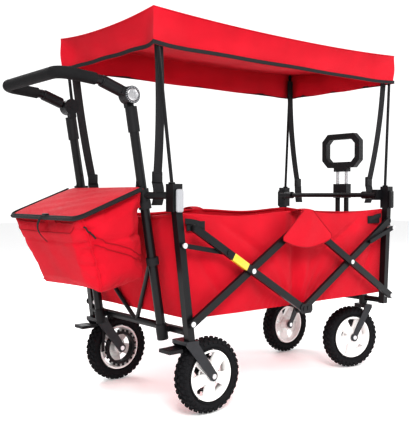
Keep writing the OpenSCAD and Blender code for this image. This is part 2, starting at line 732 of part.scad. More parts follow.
module bag_shell() color("#d81f38") union() {
    difference() {
        prism_y(bag_points(0, lid_t + soft), -bag_half, bag_half);
        prism_y(bag_points(bag_wall, -40), -bag_half + bag_wall, bag_half - bag_wall);
    }
    // Webbing loops that hold the bag on the two uprights
    both() for (z = [410, 515]) difference() {
        union() {
            rod([upright_x(z), upright_y, z], [upright_x(z + 20), upright_y, z + 20], grip_tube_r + 2.5);
            prism_y([[bag_in_x(z) - 0.5, z], [upright_x(z), z], [upright_x(z + 20), z + 20],
                     [bag_in_x(z + 20) - 0.5, z + 20]], upright_y - 8, upright_y + 8);
        }
        rod([upright_x(z - 30), upright_y, z - 30], [upright_x(z + 50), upright_y, z + 50], grip_tube_r + 0.3);
    }
}

module bag_lid() color("#d81f38") prism_y([
    [bag_in_x(bag_top_z), bag_top_z], [bag_in_x(bag_top_z - lid_t), bag_top_z - lid_t],
    [bag_outer_top[0], bag_outer_top[1] - lid_t], [bag_outer_top[0], bag_outer_top[1]]], -bag_half, bag_half);

// ---------------------------------------------------------------- pull handle

hinge_x = qx + pull_out;
column_x = hinge_x - 10;
ear_y = 20;
twin_y = twin_pitch / 2;
rod_r = 6;
sleeve_r = 8.5;

// Saddle on the cross tube with two ears for the hinge pin
module pull_bracket() color("#1d1d1f") union() {
    difference() {
        union() {
            translate([qx, -ear_y - 16, pull_bar_z - 8]) cube([pull_out - 34, 2 * ear_y + 32, 16]);
            both() translate([hinge_x - 40, ear_y + 1, pull_hinge_z - 22]) cube([40, 7, 24]);
            both() pin(hinge_x, pull_hinge_z, ear_y + 1, ear_y + 8, ear_r);
        }
        translate([pull_bar_x, 0, pull_bar_z]) rotate([90, 0, 0])
            cylinder(h = 4 * ear_y, r = pull_bar_r + fit, center = true);
    }
    pin(hinge_x, pull_hinge_z, -ear_y - 1, ear_y + 1, pin_r);
}

// Knuckle, two outer tubes and the block at their top
module pull_column() color("#2b2c30") difference() {
    union() {
        pin(hinge_x, pull_hinge_z, -ear_y + 0.6, ear_y - 0.6, 8);
        translate([column_x - 12, -ear_y + 0.6, pull_hinge_z + 9]) cube([24, 2 * ear_y - 1.2, 26]);
        translate([hinge_x - 8, -ear_y + 0.6, pull_hinge_z]) cube([10, 2 * ear_y - 1.2, 14]);
        translate([column_x - 12, -twin_y - 10, pull_hinge_z + 22]) cube([24, twin_pitch + 20, 16]);
        for (side = [-1, 1]) rod([column_x, side * twin_y, pull_hinge_z + 30],
                                 [column_x, side * twin_y, sleeve_top - 40], sleeve_r);
        translate([column_x - 13, -twin_y - 10, sleeve_top - 50]) cube([26, twin_pitch + 20, 50]);
    }
    for (side = [-1, 1]) rod([column_x, side * twin_y, pull_hinge_z + 42],
                             [column_x, side * twin_y, sleeve_top + 1], rod_r + fit);
    pin(hinge_x, pull_hinge_z, -ear_y, ear_y, pin_r + fit);
}

loop_z = sleeve_top + 58;
module pull_rods() color("silver") for (side = [-1, 1])
    rod([column_x, side * twin_y, pull_hinge_z + 50], [column_x, side * twin_y, sleeve_top + 44], rod_r);

// Crosshead on the rods and the hand loop above it
loop_t = 22;
module loop_outline(inset) {
    c = 26;
    polygon([[-loop_w / 2 + c + inset / 2, inset], [loop_w / 2 - c - inset / 2, inset],
             [loop_w / 2 - inset, c + inset / 2], [loop_w / 2 - inset, loop_h - c - inset / 2],
             [loop_w / 2 - c - inset / 2, loop_h - inset], [-loop_w / 2 + c + inset / 2, loop_h - inset],
             [-loop_w / 2 + inset, loop_h - c - inset / 2], [-loop_w / 2 + inset, c + inset / 2]]);
}

module pull_loop() color("#1d1d1f") union() {
    translate([column_x - 11, -twin_y - 10, sleeve_top + 44]) cube([22, twin_pitch + 20, 16]);
    translate([column_x + loop_t / 2, 0, loop_z]) rotate([90, 0, -90]) linear_extrude(loop_t) difference() {
        loop_outline(0);
        loop_outline(20);
    }
}

// ---------------------------------------------------------------- nodes

module near_rear_tyre() rear_wheel(-1) tyre();
module near_rear_rim() rear_wheel(-1) rim();
module near_brake_ring() rear_wheel(-1) brake_ring();
module far_rear_tyre() rear_wheel(1) tyre();
module far_rear_rim() rear_wheel(1) rim();
module far_brake_ring() rear_wheel(1) brake_ring();
module near_front_tyre() on_caster(-1, near_turn) caster_wheel() tyre();
module near_front_rim() on_caster(-1, near_turn) caster_wheel() rim();
module far_front_tyre() on_caster(1, 0) caster_wheel() tyre();
module far_front_rim() on_caster(1, 0) caster_wheel() rim();
module near_caster_fork() on_caster(-1, near_turn) caster_fork();
module near_caster_axle() color("silver") on_caster(-1, near_turn) caster_wheel() axle(arm_gap, arm_gap);
module far_caster_fork() on_caster(1, 0) caster_fork();
module far_caster_axle() color("silver") on_caster(1, 0) caster_wheel() axle(arm_gap, arm_gap);

push_posts();
push_crossbar();
push_clamps();
push_poles();
push_pins();
rear_forks();
rear_axles();
handle_uprights();
handle_feet();
knuckle_hubs();
push_panel();
tub_body();
canopy();
bag_shell();
bag_lid();
handle_arms();
handle_grip();
knuckle_discs();
near_brake_pedal();
far_brake_pedal();
near_rear_tyre();
near_rear_rim();
near_brake_ring();
far_rear_tyre();
far_rear_rim();
far_brake_ring();
near_front_tyre();
near_front_rim();
far_front_tyre();
far_front_rim();
near_caster_fork();
near_caster_axle();
far_caster_fork();
far_caster_axle();
pull_posts();
pull_crossbar();
pull_top_bar();
pull_clamps();
pull_poles();
pull_pins();
pull_panel();
pull_bracket();
pull_column();
pull_rods();
pull_loop();
rear_bars();
rear_bar_pins();
rear_cross_bars();
front_bars();
front_bar_pins();
front_cross_bars();
top_plates();
bottom_plates();
push_links();
pull_links();
push_mat();
pull_mat();
pivot_covers();
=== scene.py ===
"""Looks of a folding pull wagon: fabric tub, box canopy, storage bag, treaded wheels and every finish."""

import json
import math

import bmesh
import bpy
from bpy.props import FloatProperty, FloatVectorProperty, IntProperty, PointerProperty
from bpy.types import Operator, Panel, PropertyGroup
from mathutils import Matrix, Vector


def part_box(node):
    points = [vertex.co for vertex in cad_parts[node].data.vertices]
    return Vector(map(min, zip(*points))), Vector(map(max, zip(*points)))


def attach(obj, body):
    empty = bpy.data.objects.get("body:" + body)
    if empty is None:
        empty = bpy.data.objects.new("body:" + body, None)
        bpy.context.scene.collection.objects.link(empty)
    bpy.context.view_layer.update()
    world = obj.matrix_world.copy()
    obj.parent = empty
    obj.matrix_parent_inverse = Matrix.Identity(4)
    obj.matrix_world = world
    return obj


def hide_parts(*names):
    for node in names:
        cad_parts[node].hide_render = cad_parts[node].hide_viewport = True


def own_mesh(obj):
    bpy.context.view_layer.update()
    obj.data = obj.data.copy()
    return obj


bl_info = {
    "name": "Folding pull wagon",
    "version": (1, 0, 0),
    "blender": (4, 5, 0),
    "location": "View3D > Sidebar > Wagon",
    "description": "Builds the fabric, wheels, trims and finishes of a folding pull wagon round its frame",
    "category": "Object",
}

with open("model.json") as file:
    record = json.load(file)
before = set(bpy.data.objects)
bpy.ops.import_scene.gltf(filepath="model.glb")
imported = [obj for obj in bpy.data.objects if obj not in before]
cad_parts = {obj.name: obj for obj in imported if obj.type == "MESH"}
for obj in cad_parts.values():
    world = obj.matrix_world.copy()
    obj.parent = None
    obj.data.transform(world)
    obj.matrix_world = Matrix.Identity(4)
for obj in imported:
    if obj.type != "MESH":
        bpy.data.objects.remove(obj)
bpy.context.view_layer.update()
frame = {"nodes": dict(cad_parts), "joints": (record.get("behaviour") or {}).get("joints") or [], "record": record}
JOINTS = {j["name"]: j for j in frame["joints"]}


def pivot(joint):
    return Vector(JOINTS[joint]["pos_m"])


def low(node):
    return Vector(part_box(node)[0])


def high(node):
    return Vector(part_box(node)[1])


def middle(node):
    return (low(node) + high(node)) / 2


PUSH = pivot("side_fold")
PULL = Vector((pivot("far_caster_swivel").x, 0, PUSH.z))
CENTRE_X = (pivot("top_plate_turn").x + pivot("front_bar_turn").x) / 2
BAR = pivot("top_plate_turn") - PUSH
SHUT = math.atan2(BAR.z, BAR.x) + math.radians(JOINTS["side_fold"]["range_deg"][1])
FOLD_TRAVEL = 2 * (BAR.x - BAR.length * math.cos(SHUT))
SIDES = {"near": -1, "far": 1}
HANDLE_SLOPE = math.radians(9.36)
ARM_RISE = math.radians(19.4)
VIEW_PLACE = (-1.375, -1.620)
VIEW_HEADING = (0.636, 0.772)
VIEW_TILT = 1.27
VIEW_LENS = 59.6


# ---------------------------------------------------------------- sizes and colours


def length(name, note, size, least, most):
    return FloatProperty(name=name, description=note, default=size, min=least, max=most, unit="LENGTH")


def lean(name, note, degrees):
    return FloatProperty(name=name, description=note, default=math.radians(degrees), subtype="ANGLE")


def tint(name, note, colour):
    return FloatVectorProperty(name=name, description=note, default=colour, size=3, subtype="COLOR",
                               min=0, max=1)


class WagonSizes(PropertyGroup):
    """Sizes of the soft pieces, the tyres' tread and the view."""

    push_lean: lean("Push lean", "Lean of the push-end posts", 7)
    pull_lean: lean("Pull lean", "Lean of the pull-end posts", 3.2)
    wall_thickness: length("Wall cloth", "Thickness of the tub's padded cloth", 0.005, 0.002, 0.008)
    wall_bulge: length("Wall bulge", "How far the long walls swell between the posts", 0.010, 0, 0.016)
    roof_dish: length("Roof dish", "How far the roof's middle hangs", 0.030, 0, 0.08)
    hem_sag: length("Hem sag", "How far the canopy's edges sag between corners", 0.013, 0, 0.03)
    binding: length("Binding", "Height of the black binding on the canopy's hem", 0.010, 0.004, 0.02)
    strap_width: length("Strap width", "Width of the canopy's corner straps", 0.026, 0.01, 0.03)
    tread_blocks: IntProperty(name="Tread blocks", description="Blocks in one row round a tyre",
                              default=34, min=12, max=60)
    sky: FloatProperty(name="Sky light", description="Strength of the even light round the object",
                       default=0.62, min=0, max=2)
    view_height: length("Eye height", "Height of the camera above the floor", 0.57, 0, 3)


class WagonColours(PropertyGroup):
    """Base colours of the finishes."""

    cloth: tint("Cloth", "Red polyester of the tub, canopy and bag", (0.66, 0.0065, 0.026))
    # Painted shade: a darker red that cloth_finish mixes in over broad noise, standing in for shade in the cloth's
    # folds.
    cloth_painted_shade: tint("Cloth in folds", "Red polyester where it is creased", (0.36, 0.002, 0.010))
    coat: tint("Powder coat", "Black coat of the tubes", (0.006, 0.006, 0.007))
    moulding: tint("Black moulding", "Black nylon fittings", (0.006, 0.006, 0.007))
    fork: tint("Fork grey", "Grey coat of the wheel forks", (0.022, 0.023, 0.026))
    rubber: tint("Tyre", "Black tyre compound", (0.007, 0.007, 0.008))
    rim: tint("Rim", "White rims", (0.90, 0.90, 0.89))
    webbing: tint("Webbing", "Black woven straps", (0.012, 0.012, 0.013))
    reflector: tint("Reflector", "Yellow reflective band", (0.86, 0.62, 0.04))


def sizes():
    return bpy.context.scene.wagon_sizes


def colours():
    return bpy.context.scene.wagon_colours


def push_x(z):
    return PUSH.x - (z - PUSH.z) * math.tan(sizes().push_lean)


def pull_x(z):
    return PULL.x + (z - PULL.z) * math.tan(sizes().pull_lean)


# ---------------------------------------------------------------- finishes


class Socket:
    """A value in a node tree. Sums and products of sockets add Math nodes."""

    def __init__(self, finish, link):
        self.finish = finish
        self.link = link

    def maths(self, operation, *values):
        return self.finish.node("ShaderNodeMath", {"operation": operation}, *values)

    def __add__(self, other):
        return self.maths("ADD", self, other)

    __radd__ = __add__

    def __mul__(self, other):
        return self.maths("MULTIPLY", self, other)

    __rmul__ = __mul__

    def __sub__(self, other):
        return self.maths("SUBTRACT", self, other)

    def __pow__(self, other):
        return self.maths("POWER", self, other)

    def sine(self):
        return self.maths("SINE", self)

    def clamped(self):
        return self.finish.node("ShaderNodeClamp", {}, self)


class Finish:
    """One material: its nodes are added by node(), and surface() sets the shader."""

    def __init__(self, name):
        self.material = bpy.data.materials.new(name)
        self.material.use_nodes = True
        self.tree = self.material.node_tree
        self.shader = self.tree.nodes["Principled BSDF"]

    def put(self, socket, value):
        if isinstance(value, Socket):
            self.tree.links.new(value.link, socket)
        else:
            socket.default_value = value

    def node(self, kind, settings, *values, output=0, **named):
        made = self.tree.nodes.new(kind)
        for key, value in settings.items():
            setattr(made, key, value)
        for socket, value in zip(made.inputs, values):
            self.put(socket, value)
        for key, value in named.items():
            self.put(made.inputs[key.replace("_", " ")], value)
        return Socket(self, made.outputs[output])

    def place(self):
        return self.node("ShaderNodeTexCoord", {}, output="Object")

    def places(self):
        found = self.place()
        parts = self.node("ShaderNodeSeparateXYZ", {}, found).link.node
        return found, *(Socket(self, o) for o in parts.outputs)

    def noise(self, where, scale, detail=3.0, roughness=0.55):
        detailed = {"Scale": scale, "Detail": detail, "Roughness": roughness}
        return self.node("ShaderNodeTexNoise", {}, Vector=where, **detailed)

    def cells(self, where, scale):
        return self.node("ShaderNodeTexVoronoi", {}, Vector=where, Scale=scale)

    def mix(self, share, first, second):
        mixed = self.node("ShaderNodeMix", {"data_type": "RGBA"}, output=2)
        inputs = mixed.link.node.inputs
        self.put(inputs[0], share)
        self.put(inputs[6], first if isinstance(first, Socket) else (*first, 1))
        self.put(inputs[7], second if isinstance(second, Socket) else (*second, 1))
        return mixed

    def surface(self, colour, roughness, height=None, depth=0.001, strength=0.4, **constants):
        if not isinstance(colour, Socket):
            colour = (*colour, 1)
        self.put(self.shader.inputs["Base Color"], colour)
        self.put(self.shader.inputs["Roughness"], roughness)
        for key, value in constants.items():
            self.put(self.shader.inputs[key.replace("_", " ")], value)
        if height is not None:
            bump = self.node("ShaderNodeBump", {}, Strength=strength, Distance=depth, Height=height)
            self.put(self.shader.inputs["Normal"], bump)
        return self.material


def shade(colour, share):
    return tuple(min(1.0, c * share) for c in colour)


def cloth_finish(name="red_cloth", light=1.0, thread=4200.0):
    """Plain-woven polyester: crossed threads and soft creases in the bump, with painted shade (broad noise darkens
    the red towards the shaded-fold colour) and a slight random unevenness of colour.
    """
    f = Finish(name)
    where, x, y, z = f.places()
    weft = ((x + y) * thread).sine()
    warp = ((z + 0.5 * (x - y)) * thread).sine()
    weave = weft * warp
    crease_bump_and_shade = f.noise(where, 9.0, 4.0)
    slub = f.noise(where, 160.0, 2.0)
    # Painted shade: the broad noise darkens the cloth towards the shaded-fold red, as if shade lay in creases; the
    # same noise also raises the bump.
    painted_fold_shade = f.mix(crease_bump_and_shade, shade(colours().cloth_painted_shade, light), shade(colours().cloth, light * 1.06))
    tone = f.mix((slub * 0.35).clamped(), painted_fold_shade, shade(colours().cloth, light))
    rough = 0.6 + 0.2 * slub
    height = weave * 0.2 + crease_bump_and_shade * 2.6 + slub * 0.3
    return f.surface(tone, rough, height, 0.0030, 0.6, Sheen_Weight=0.03, Sheen_Roughness=0.5,
                     Specular_IOR_Level=0.14)


def shaded_cloth_finish():
    # Painted shade: the same red cloth at 0.62 of its brightness, a shaded copy for the floor mat, the bag's seam
    # lines and the flaps' piping.
    return cloth_finish("red_cloth_painted_shade", 0.62)


def coat_finish(name="powder_coat", colour=None, grain=900.0, metal=0.105):
    """Satin powder coat: fine orange peel, with dull scuffs."""
    f = Finish(name)
    where = f.place()
    peel = f.noise(where, grain, 2.0)
    scuff = f.noise(where, 24.0, 5.0, 0.7)
    colour = tuple(colour or colours().coat)
    tone = f.mix((scuff * scuff).clamped(), colour, shade(colour, 2.1))
    rough = 0.24 + 0.22 * scuff
    return f.surface(tone, rough, peel, 0.0004, 0.25, Metallic=metal, Coat_Weight=0.12, Coat_Roughness=0.12,
                     Specular_IOR_Level=0.22)


def bar_finish():
    return coat_finish("bar_coat", shade(colours().coat, 1.2), 700.0, 0.135)


def fork_finish():
    return coat_finish("fork_coat", colours().fork, 600.0, 0.15)


def moulding_finish(name="black_moulding", colour=None):
    """Moulded nylon: spark-eroded grain, lighter and rougher in random patches of wear."""
    f = Finish(name)
    where = f.place()
    grain = f.cells(where, 1500.0)
    wear = f.noise(where, 18.0, 4.0)
    colour = tuple(colour or colours().moulding)
    tone = f.mix(wear, colour, shade(colour, 1.8))
    rough = 0.34 + 0.2 * wear
    return f.surface(tone, rough, grain, 0.0004, 0.3, Specular_IOR_Level=0.24)


def knuckle_finish():
    return moulding_finish("grey_moulding", (0.24, 0.245, 0.26))


def steel_finish(name="plated_steel", colour=(0.72, 0.72, 0.74)):
    """Plated steel with fine drawing lines along the length and faint dull spots."""
    f = Finish(name)
    where = f.place()
    stretched = f.node("ShaderNodeMapping", {}, Vector=where, Scale=(900.0, 900.0, 12.0))
    lines = f.noise(stretched, 1.0, 2.0)
    spots = f.noise(where, 60.0, 4.0)
    tone = f.mix(spots, shade(colour, 0.82), colour)
    rough = 0.16 + 0.16 * lines + 0.06 * spots
    return f.surface(tone, rough, lines, 0.0002, 0.2, Metallic=1.0)


def rivet_finish():
    """Painted rivet heads, greyed in patches of fine noise."""
    f = Finish("rivet_paint")
    where = f.place()
    spots = f.noise(where, 240.0, 3.0)
    tone = f.mix(spots, (0.62, 0.62, 0.63), (0.86, 0.86, 0.87))
    return f.surface(tone, 0.22 + 0.2 * spots, spots, 0.0003, 0.2, Metallic=0.7)


def rim_finish():
    """White moulded rim with patches of road dust."""
    f = Finish("rim_white")
    where = f.place()
    dust = f.noise(where, 34.0, 5.0, 0.65)
    grain = f.cells(where, 1200.0)
    tone = f.mix((dust ** 3.0).clamped(), tuple(colours().rim), shade(colours().rim, 0.8))
    return f.surface(tone, 0.3 + 0.18 * dust, grain, 0.0003, 0.2, Coat_Weight=0.15)


def tyre_finish():
    """Tyre compound: matt, mottled, with moulding pips."""
    f = Finish("tyre_compound")
    where = f.place()
    mottle = f.noise(where, 46.0, 5.0, 0.65)
    grain = f.cells(where, 900.0)
    tone = f.mix(mottle, tuple(colours().rubber), shade(colours().rubber, 2.4))
    return f.surface(tone, 0.62 + 0.22 * mottle, grain, 0.0007, 0.5, Specular_IOR_Level=0.12)


def foam_finish():
    """Closed-cell foam of the hand grip."""
    f = Finish("grip_foam")
    where = f.place()
    cell = f.cells(where, 700.0)
    press = f.noise(where, 30.0, 3.0)
    tone = f.mix(press, (0.006, 0.006, 0.007), (0.016, 0.016, 0.017))
    return f.surface(tone, 0.66 + 0.2 * press, cell, 0.0012, 0.55, Specular_IOR_Level=0.15)


def webbing_finish():
    """Ribbed woven strap."""
    f = Finish("webbing")
    where, x, y, z = f.places()
    ribs = ((z + 0.3 * x) * 3600.0).sine() * ((x + y - z * 0.2) * 2600.0).sine()
    fluff = f.noise(where, 420.0, 3.0)
    tone = f.mix(fluff, tuple(colours().webbing), shade(colours().webbing, 3.0))
    return f.surface(tone, 0.7 + 0.15 * fluff, ribs + fluff, 0.0008, 0.5, Specular_IOR_Level=0.12)


def piping_finish():
    """Zip teeth and piping: close ribs across the cord."""
    f = Finish("zip_piping")
    where, x, y, z = f.places()
    teeth = ((x + y + z) * 2100.0).sine()
    fluff = f.noise(where, 300.0, 3.0)
    tone = f.mix(fluff, (0.010, 0.010, 0.011), (0.032, 0.032, 0.034))
    return f.surface(tone, 0.42 + 0.25 * fluff, teeth, 0.0010, 0.6, Specular_IOR_Level=0.15)


def reflector_finish():
    """Yellow prismatic band of small cells."""
    f = Finish("reflective_band")
    where = f.place()
    prism = f.cells(where, 620.0)
    tone = f.mix((prism * 1.6).clamped(), tuple(colours().reflector), shade(colours().reflector, 0.7))
    return f.surface(tone, 0.22 + 0.25 * prism, prism, 0.0006, 0.5, Coat_Weight=0.5, Coat_Roughness=0.1)


def floor_finish():
    f = Finish("studio_floor")
    where = f.place()
    cloudy = f.noise(where, 1.4, 2.0)
    tone = f.mix(cloudy, (0.965, 0.965, 0.97), (0.985, 0.985, 0.99))
    return f.surface(tone, 0.5 + 0.1 * cloudy, Emission_Color=(1, 1, 1, 1), Emission_Strength=0.16)


FINISHES = {
    "frame_black": coat_finish,
    "bar_black": bar_finish,
    "bright_steel": steel_finish,
    "rivet_white": rivet_finish,
    "black_plastic": moulding_finish,
    "fork_grey": fork_finish,
    "knuckle_grey": knuckle_finish,
    "rim_white": rim_finish,
    "tyre_black": tyre_finish,
    "foam_black": foam_finish,
    "red_fabric": cloth_finish,
    "floor_fabric": shaded_cloth_finish,
    "webbing": webbing_finish,
    "piping": piping_finish,
    "reflector": reflector_finish,
    "studio": floor_finish,
}
MADE = {}


def finish(key):
    if key not in MADE:
        MADE[key] = FINISHES[key]()
    return MADE[key]


# ---------------------------------------------------------------- bench: primitives, edit mode, modifiers


def leave_edit():
    bpy.ops.object.mode_set(mode="OBJECT")


def put_down():
    if bpy.context.object is not None and bpy.context.object.mode != "OBJECT":
        leave_edit()
    bpy.ops.object.select_all(action="DESELECT")


def take(piece):
    put_down()
    piece.select_set(True)
    bpy.context.view_layer.objects.active = piece


def primitive(kind, name, at=(0, 0, 0), **sizes_of_it):
    put_down()
    getattr(bpy.ops.mesh, f"primitive_{kind}_add")(location=at, **sizes_of_it)
    piece = bpy.context.object
    piece.name = name
    piece.data.name = name
    return piece


def choose(piece, test, what="FACE"):
    """Edit mode, with only the faces, edges or points that pass the test chosen."""
    take(piece)
    bpy.ops.object.mode_set(mode="EDIT")
    bpy.ops.mesh.select_mode(type=what)
    bpy.ops.mesh.select_all(action="DESELECT")
    mesh = bmesh.from_edit_mesh(piece.data)
    for item in {"FACE": mesh.faces, "EDGE": mesh.edges, "VERT": mesh.verts}[what]:
        if test(item):
            item.select_set(True)
    mesh.select_flush_mode()
    bmesh.update_edit_mesh(piece.data)


def mould(piece, shape):
    """Moves each point to where shape says."""
    for vertex in piece.data.vertices:
        vertex.co = shape(vertex.co)
    piece.data.update()


def modify(piece, kind, **settings):
    take(piece)
    modifier = piece.modifiers.new(kind.lower(), kind)
    for key, value in settings.items():
        setattr(modifier, key, value)
    bpy.ops.object.modifier_apply(modifier=modifier.name)


def settle(piece, angle=35, merge=0.00005):
    """Places the mesh itself, closes seams, turns faces outwards and smooths."""
    take(piece)
    bpy.ops.object.transform_apply(location=True, rotation=True, scale=True)
    bpy.ops.object.mode_set(mode="EDIT")
    bpy.ops.mesh.select_all(action="SELECT")
    bpy.ops.mesh.remove_doubles(threshold=merge)
    bpy.ops.mesh.normals_make_consistent(inside=False)
    leave_edit()
    bpy.ops.object.shade_smooth_by_angle(angle=math.radians(angle))
    return piece


def bevel(piece, width, segments, angle=None):
    """Rounds every edge, or only the edges sharper than an angle in degrees."""
    if angle is None:
        modify(piece, "BEVEL", width=width, segments=segments, limit_method="NONE")
    else:
        limit = math.radians(angle)
        modify(piece, "BEVEL", width=width, segments=segments, limit_method="ANGLE", angle_limit=limit)


def thicken(piece, thickness, offset=0.0):
    modify(piece, "SOLIDIFY", thickness=thickness, offset=offset, use_even_offset=True)


def copies(piece, places):
    """The piece's mesh repeated at each matrix, as one mesh in the same object."""
    repeated = bmesh.new()
    for place in places:
        start = len(repeated.verts)
        repeated.from_mesh(piece.data)
        repeated.verts.ensure_lookup_table()
        bmesh.ops.transform(repeated, matrix=place, verts=repeated.verts[start:])
    repeated.to_mesh(piece.data)
    repeated.free()
    return piece


def twin(piece, name, place):
    """A copy with its own mesh, moved by a matrix."""
    other = piece.copy()
    other.data = piece.data.copy()
    other.name = name
    other.data.name = name
    bpy.context.collection.objects.link(other)
    other.data.transform(place)
    if place.determinant() < 0:
        other.data.flip_normals()
    return other


def join(name, *parts):
    put_down()
    for part in parts:
        part.select_set(True)
    bpy.context.view_layer.objects.active = parts[0]
    bpy.ops.object.join()
    parts[0].name = name
    return parts[0]


def fit(piece, body, slot, look=None, stands_for=()):
    """Gives the piece its finish and fastens it to a body of the frame."""
    piece.data.materials.clear()
    piece.data.materials.append(finish(look or slot))
    if stands_for:
        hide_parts(*stands_for)
    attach(piece, body)
    return piece


def gather(piece, anchor_x, reach):
    """Gives the piece its own copy of its mesh; the piece is not moved as the frame folds."""
    1 - FOLD_TRAVEL / reach
    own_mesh(piece)


def block(name, size, at=(0, 0, 0)):
    """A box of the given size, with its scale in the mesh."""
    piece = primitive("cube", name, size=1)
    piece.data.transform(Matrix.Translation(at) @ Matrix.Diagonal((*size, 1)))
    return piece


def rounded(name, at, size, radius, segments=4):
    """A moulded block with rounded edges."""
    piece = block(name, size)
    bevel(piece, min(radius, min(size) * 0.49), segments)
    piece.data.transform(Matrix.Translation(at))
    return settle(piece, 50)


def button(name, at, radius, height, axis):
    """A domed round cap: a cylinder whose outer face is inset and rounded."""
    piece = primitive("cylinder", name, vertices=28, radius=radius, depth=height)
    choose(piece, lambda face: face.normal.z > 0.9)
    bpy.ops.mesh.inset(thickness=radius * 0.45, depth=height * 0.16)
    leave_edit()
    bevel(piece, height * 0.2, 3, 40)
    turn = Vector((0, 0, 1)).rotation_difference(Vector(axis)).to_matrix().to_4x4()
    piece.data.transform(Matrix.Translation(at) @ turn)
    return settle(piece, 40)


def tube(name, points, radius, closed=False, sides=4):
    """A round cord along smooth points, made as a curve and then a mesh."""
    put_down()
    curve = bpy.data.curves.new(name, "CURVE")
    curve.dimensions = "3D"
    curve.bevel_depth = radius
    curve.bevel_resolution = sides
    curve.use_fill_caps = not closed
    line = curve.splines.new("POLY")
    line.points.add(len(points) - 1)
    for knot, place in zip(line.points, points):
        knot.co = (*place, 1)
    line.use_cyclic_u = closed
    piece = bpy.data.objects.new(name, curve)
    bpy.context.collection.objects.link(piece)
    take(piece)
    bpy.ops.object.convert(target="MESH")
    return settle(bpy.context.object, 60)


def ribbon(name, points, width, thickness, side):
    """A flat strap: an edge across the first point, extruded from point to point, then thickened."""
    points = [Vector(p) for p in points]
    half = Vector(side).normalized() * width / 2
    piece = primitive("plane", name, size=1)
    corners = [points[0] - half, points[0] + half, points[1] - half, points[1] + half]
    for vertex, place in zip(piece.data.vertices, corners):
        vertex.co = place
    last = {2, 3}
    choose(piece, lambda v: v.index in last, "VERT")
    for start, end in zip(points[1:], points[2:]):
        bpy.ops.mesh.extrude_region_move(TRANSFORM_OT_translate={"value": end - start})
    leave_edit()
    thicken(piece, thickness)
    return settle(piece, 50)


def arc(start, middle_point, end, steps=10):
    """Points on a smooth curve through three places."""
    a, m, b = Vector(start), Vector(middle_point), Vector(end)
    control = 2 * m - (a + b) / 2
    found = []
    for k in range(steps + 1):
        t = k / steps
        found.append(a * (1 - t) ** 2 + control * 2 * t * (1 - t) + b * t ** 2)
    return found


def dome(t, power=2.0):
    """0 at both ends of 0..1, 1 in the middle, with full shoulders."""
    return max(0.0, 1 - abs(2 * t - 1) ** power)


def bump_at(t, place, width):
    return math.exp(-((t - place) / width) ** 2)


# ---------------------------------------------------------------- pieces


class WagonTask(Operator):
    """Base of the wagon's operators."""

    bl_options = {"UNDO"}

    def execute(self, context):
        self.make()
        put_down()
        return {"FINISHED"}


class WAGON_OT_frame_finishes(WagonTask):
    """Give every carried-over frame node its finish"""

    bl_idname = "wagon.frame_finishes"
    bl_label = "Frame finishes"

    def make(self):
        for part in frame["record"]["subparts"]:
            node = frame["nodes"][part["node"]]
            if not node.material_slots:
                node.data.materials.append(None)
            for slot in node.material_slots:
                slot.link = "OBJECT"
                slot.material = finish(part["material_slot"])


# Wheels are modelled about +Y at the origin and copied to the four axles.
WHEELS = ("near_rear", "far_rear", "near_front", "far_front")
TYRE_R = (high("far_rear_tyre").z - low("far_rear_tyre").z) / 2
TYRE_W = high("far_rear_tyre").y - low("far_rear_tyre").y
RIM_R = (high("far_rear_rim").z - low("far_rear_rim").z) / 2


def wheel_place(key):
    """Where a wheel goes: its centre, its axle's turn, and which way its outer face looks."""
    axis = Vector(JOINTS[f"{key}_spin"]["axis"])
    turn = Vector((0, 1, 0)).rotation_difference(axis).to_matrix().to_4x4()
    outward = Matrix.Rotation(math.pi, 4, "Z") if key.startswith("near") else Matrix.Identity(4)
    return Matrix.Translation(middle(f"{key}_tyre")) @ turn @ outward


def spun(name, outline, steps=96):
    """A closed outline of (radius, y) points spun about the Y axis."""
    piece = primitive("circle", name, vertices=len(outline), radius=1)
    for vertex, (radius, y) in zip(piece.data.vertices, outline):
        vertex.co = (radius, y, 0)
    choose(piece, lambda v: True, "VERT")
    bpy.ops.mesh.spin(steps=steps, angle=2 * math.pi, center=(0, 0, 0), axis=(0, 1, 0))
    leave_edit()
    return settle(piece, 32)


def tread_block(name, size, top, at_radius, at_y, tilt=0.0, skew=0.0):
    """One rubber block, narrower at its top, standing on the carcass."""
    piece = block(name, size)
    choose(piece, lambda face: face.normal.x > 0.9)
    bpy.ops.transform.resize(value=(1, top, top))
    leave_edit()
    bevel(piece, 0.0007, 1)
    turn = Matrix.Rotation(tilt, 4, "Z") @ Matrix.Rotation(skew, 4, "X")
    piece.data.transform(Matrix.Translation((at_radius, at_y, 0)) @ turn)
    return piece


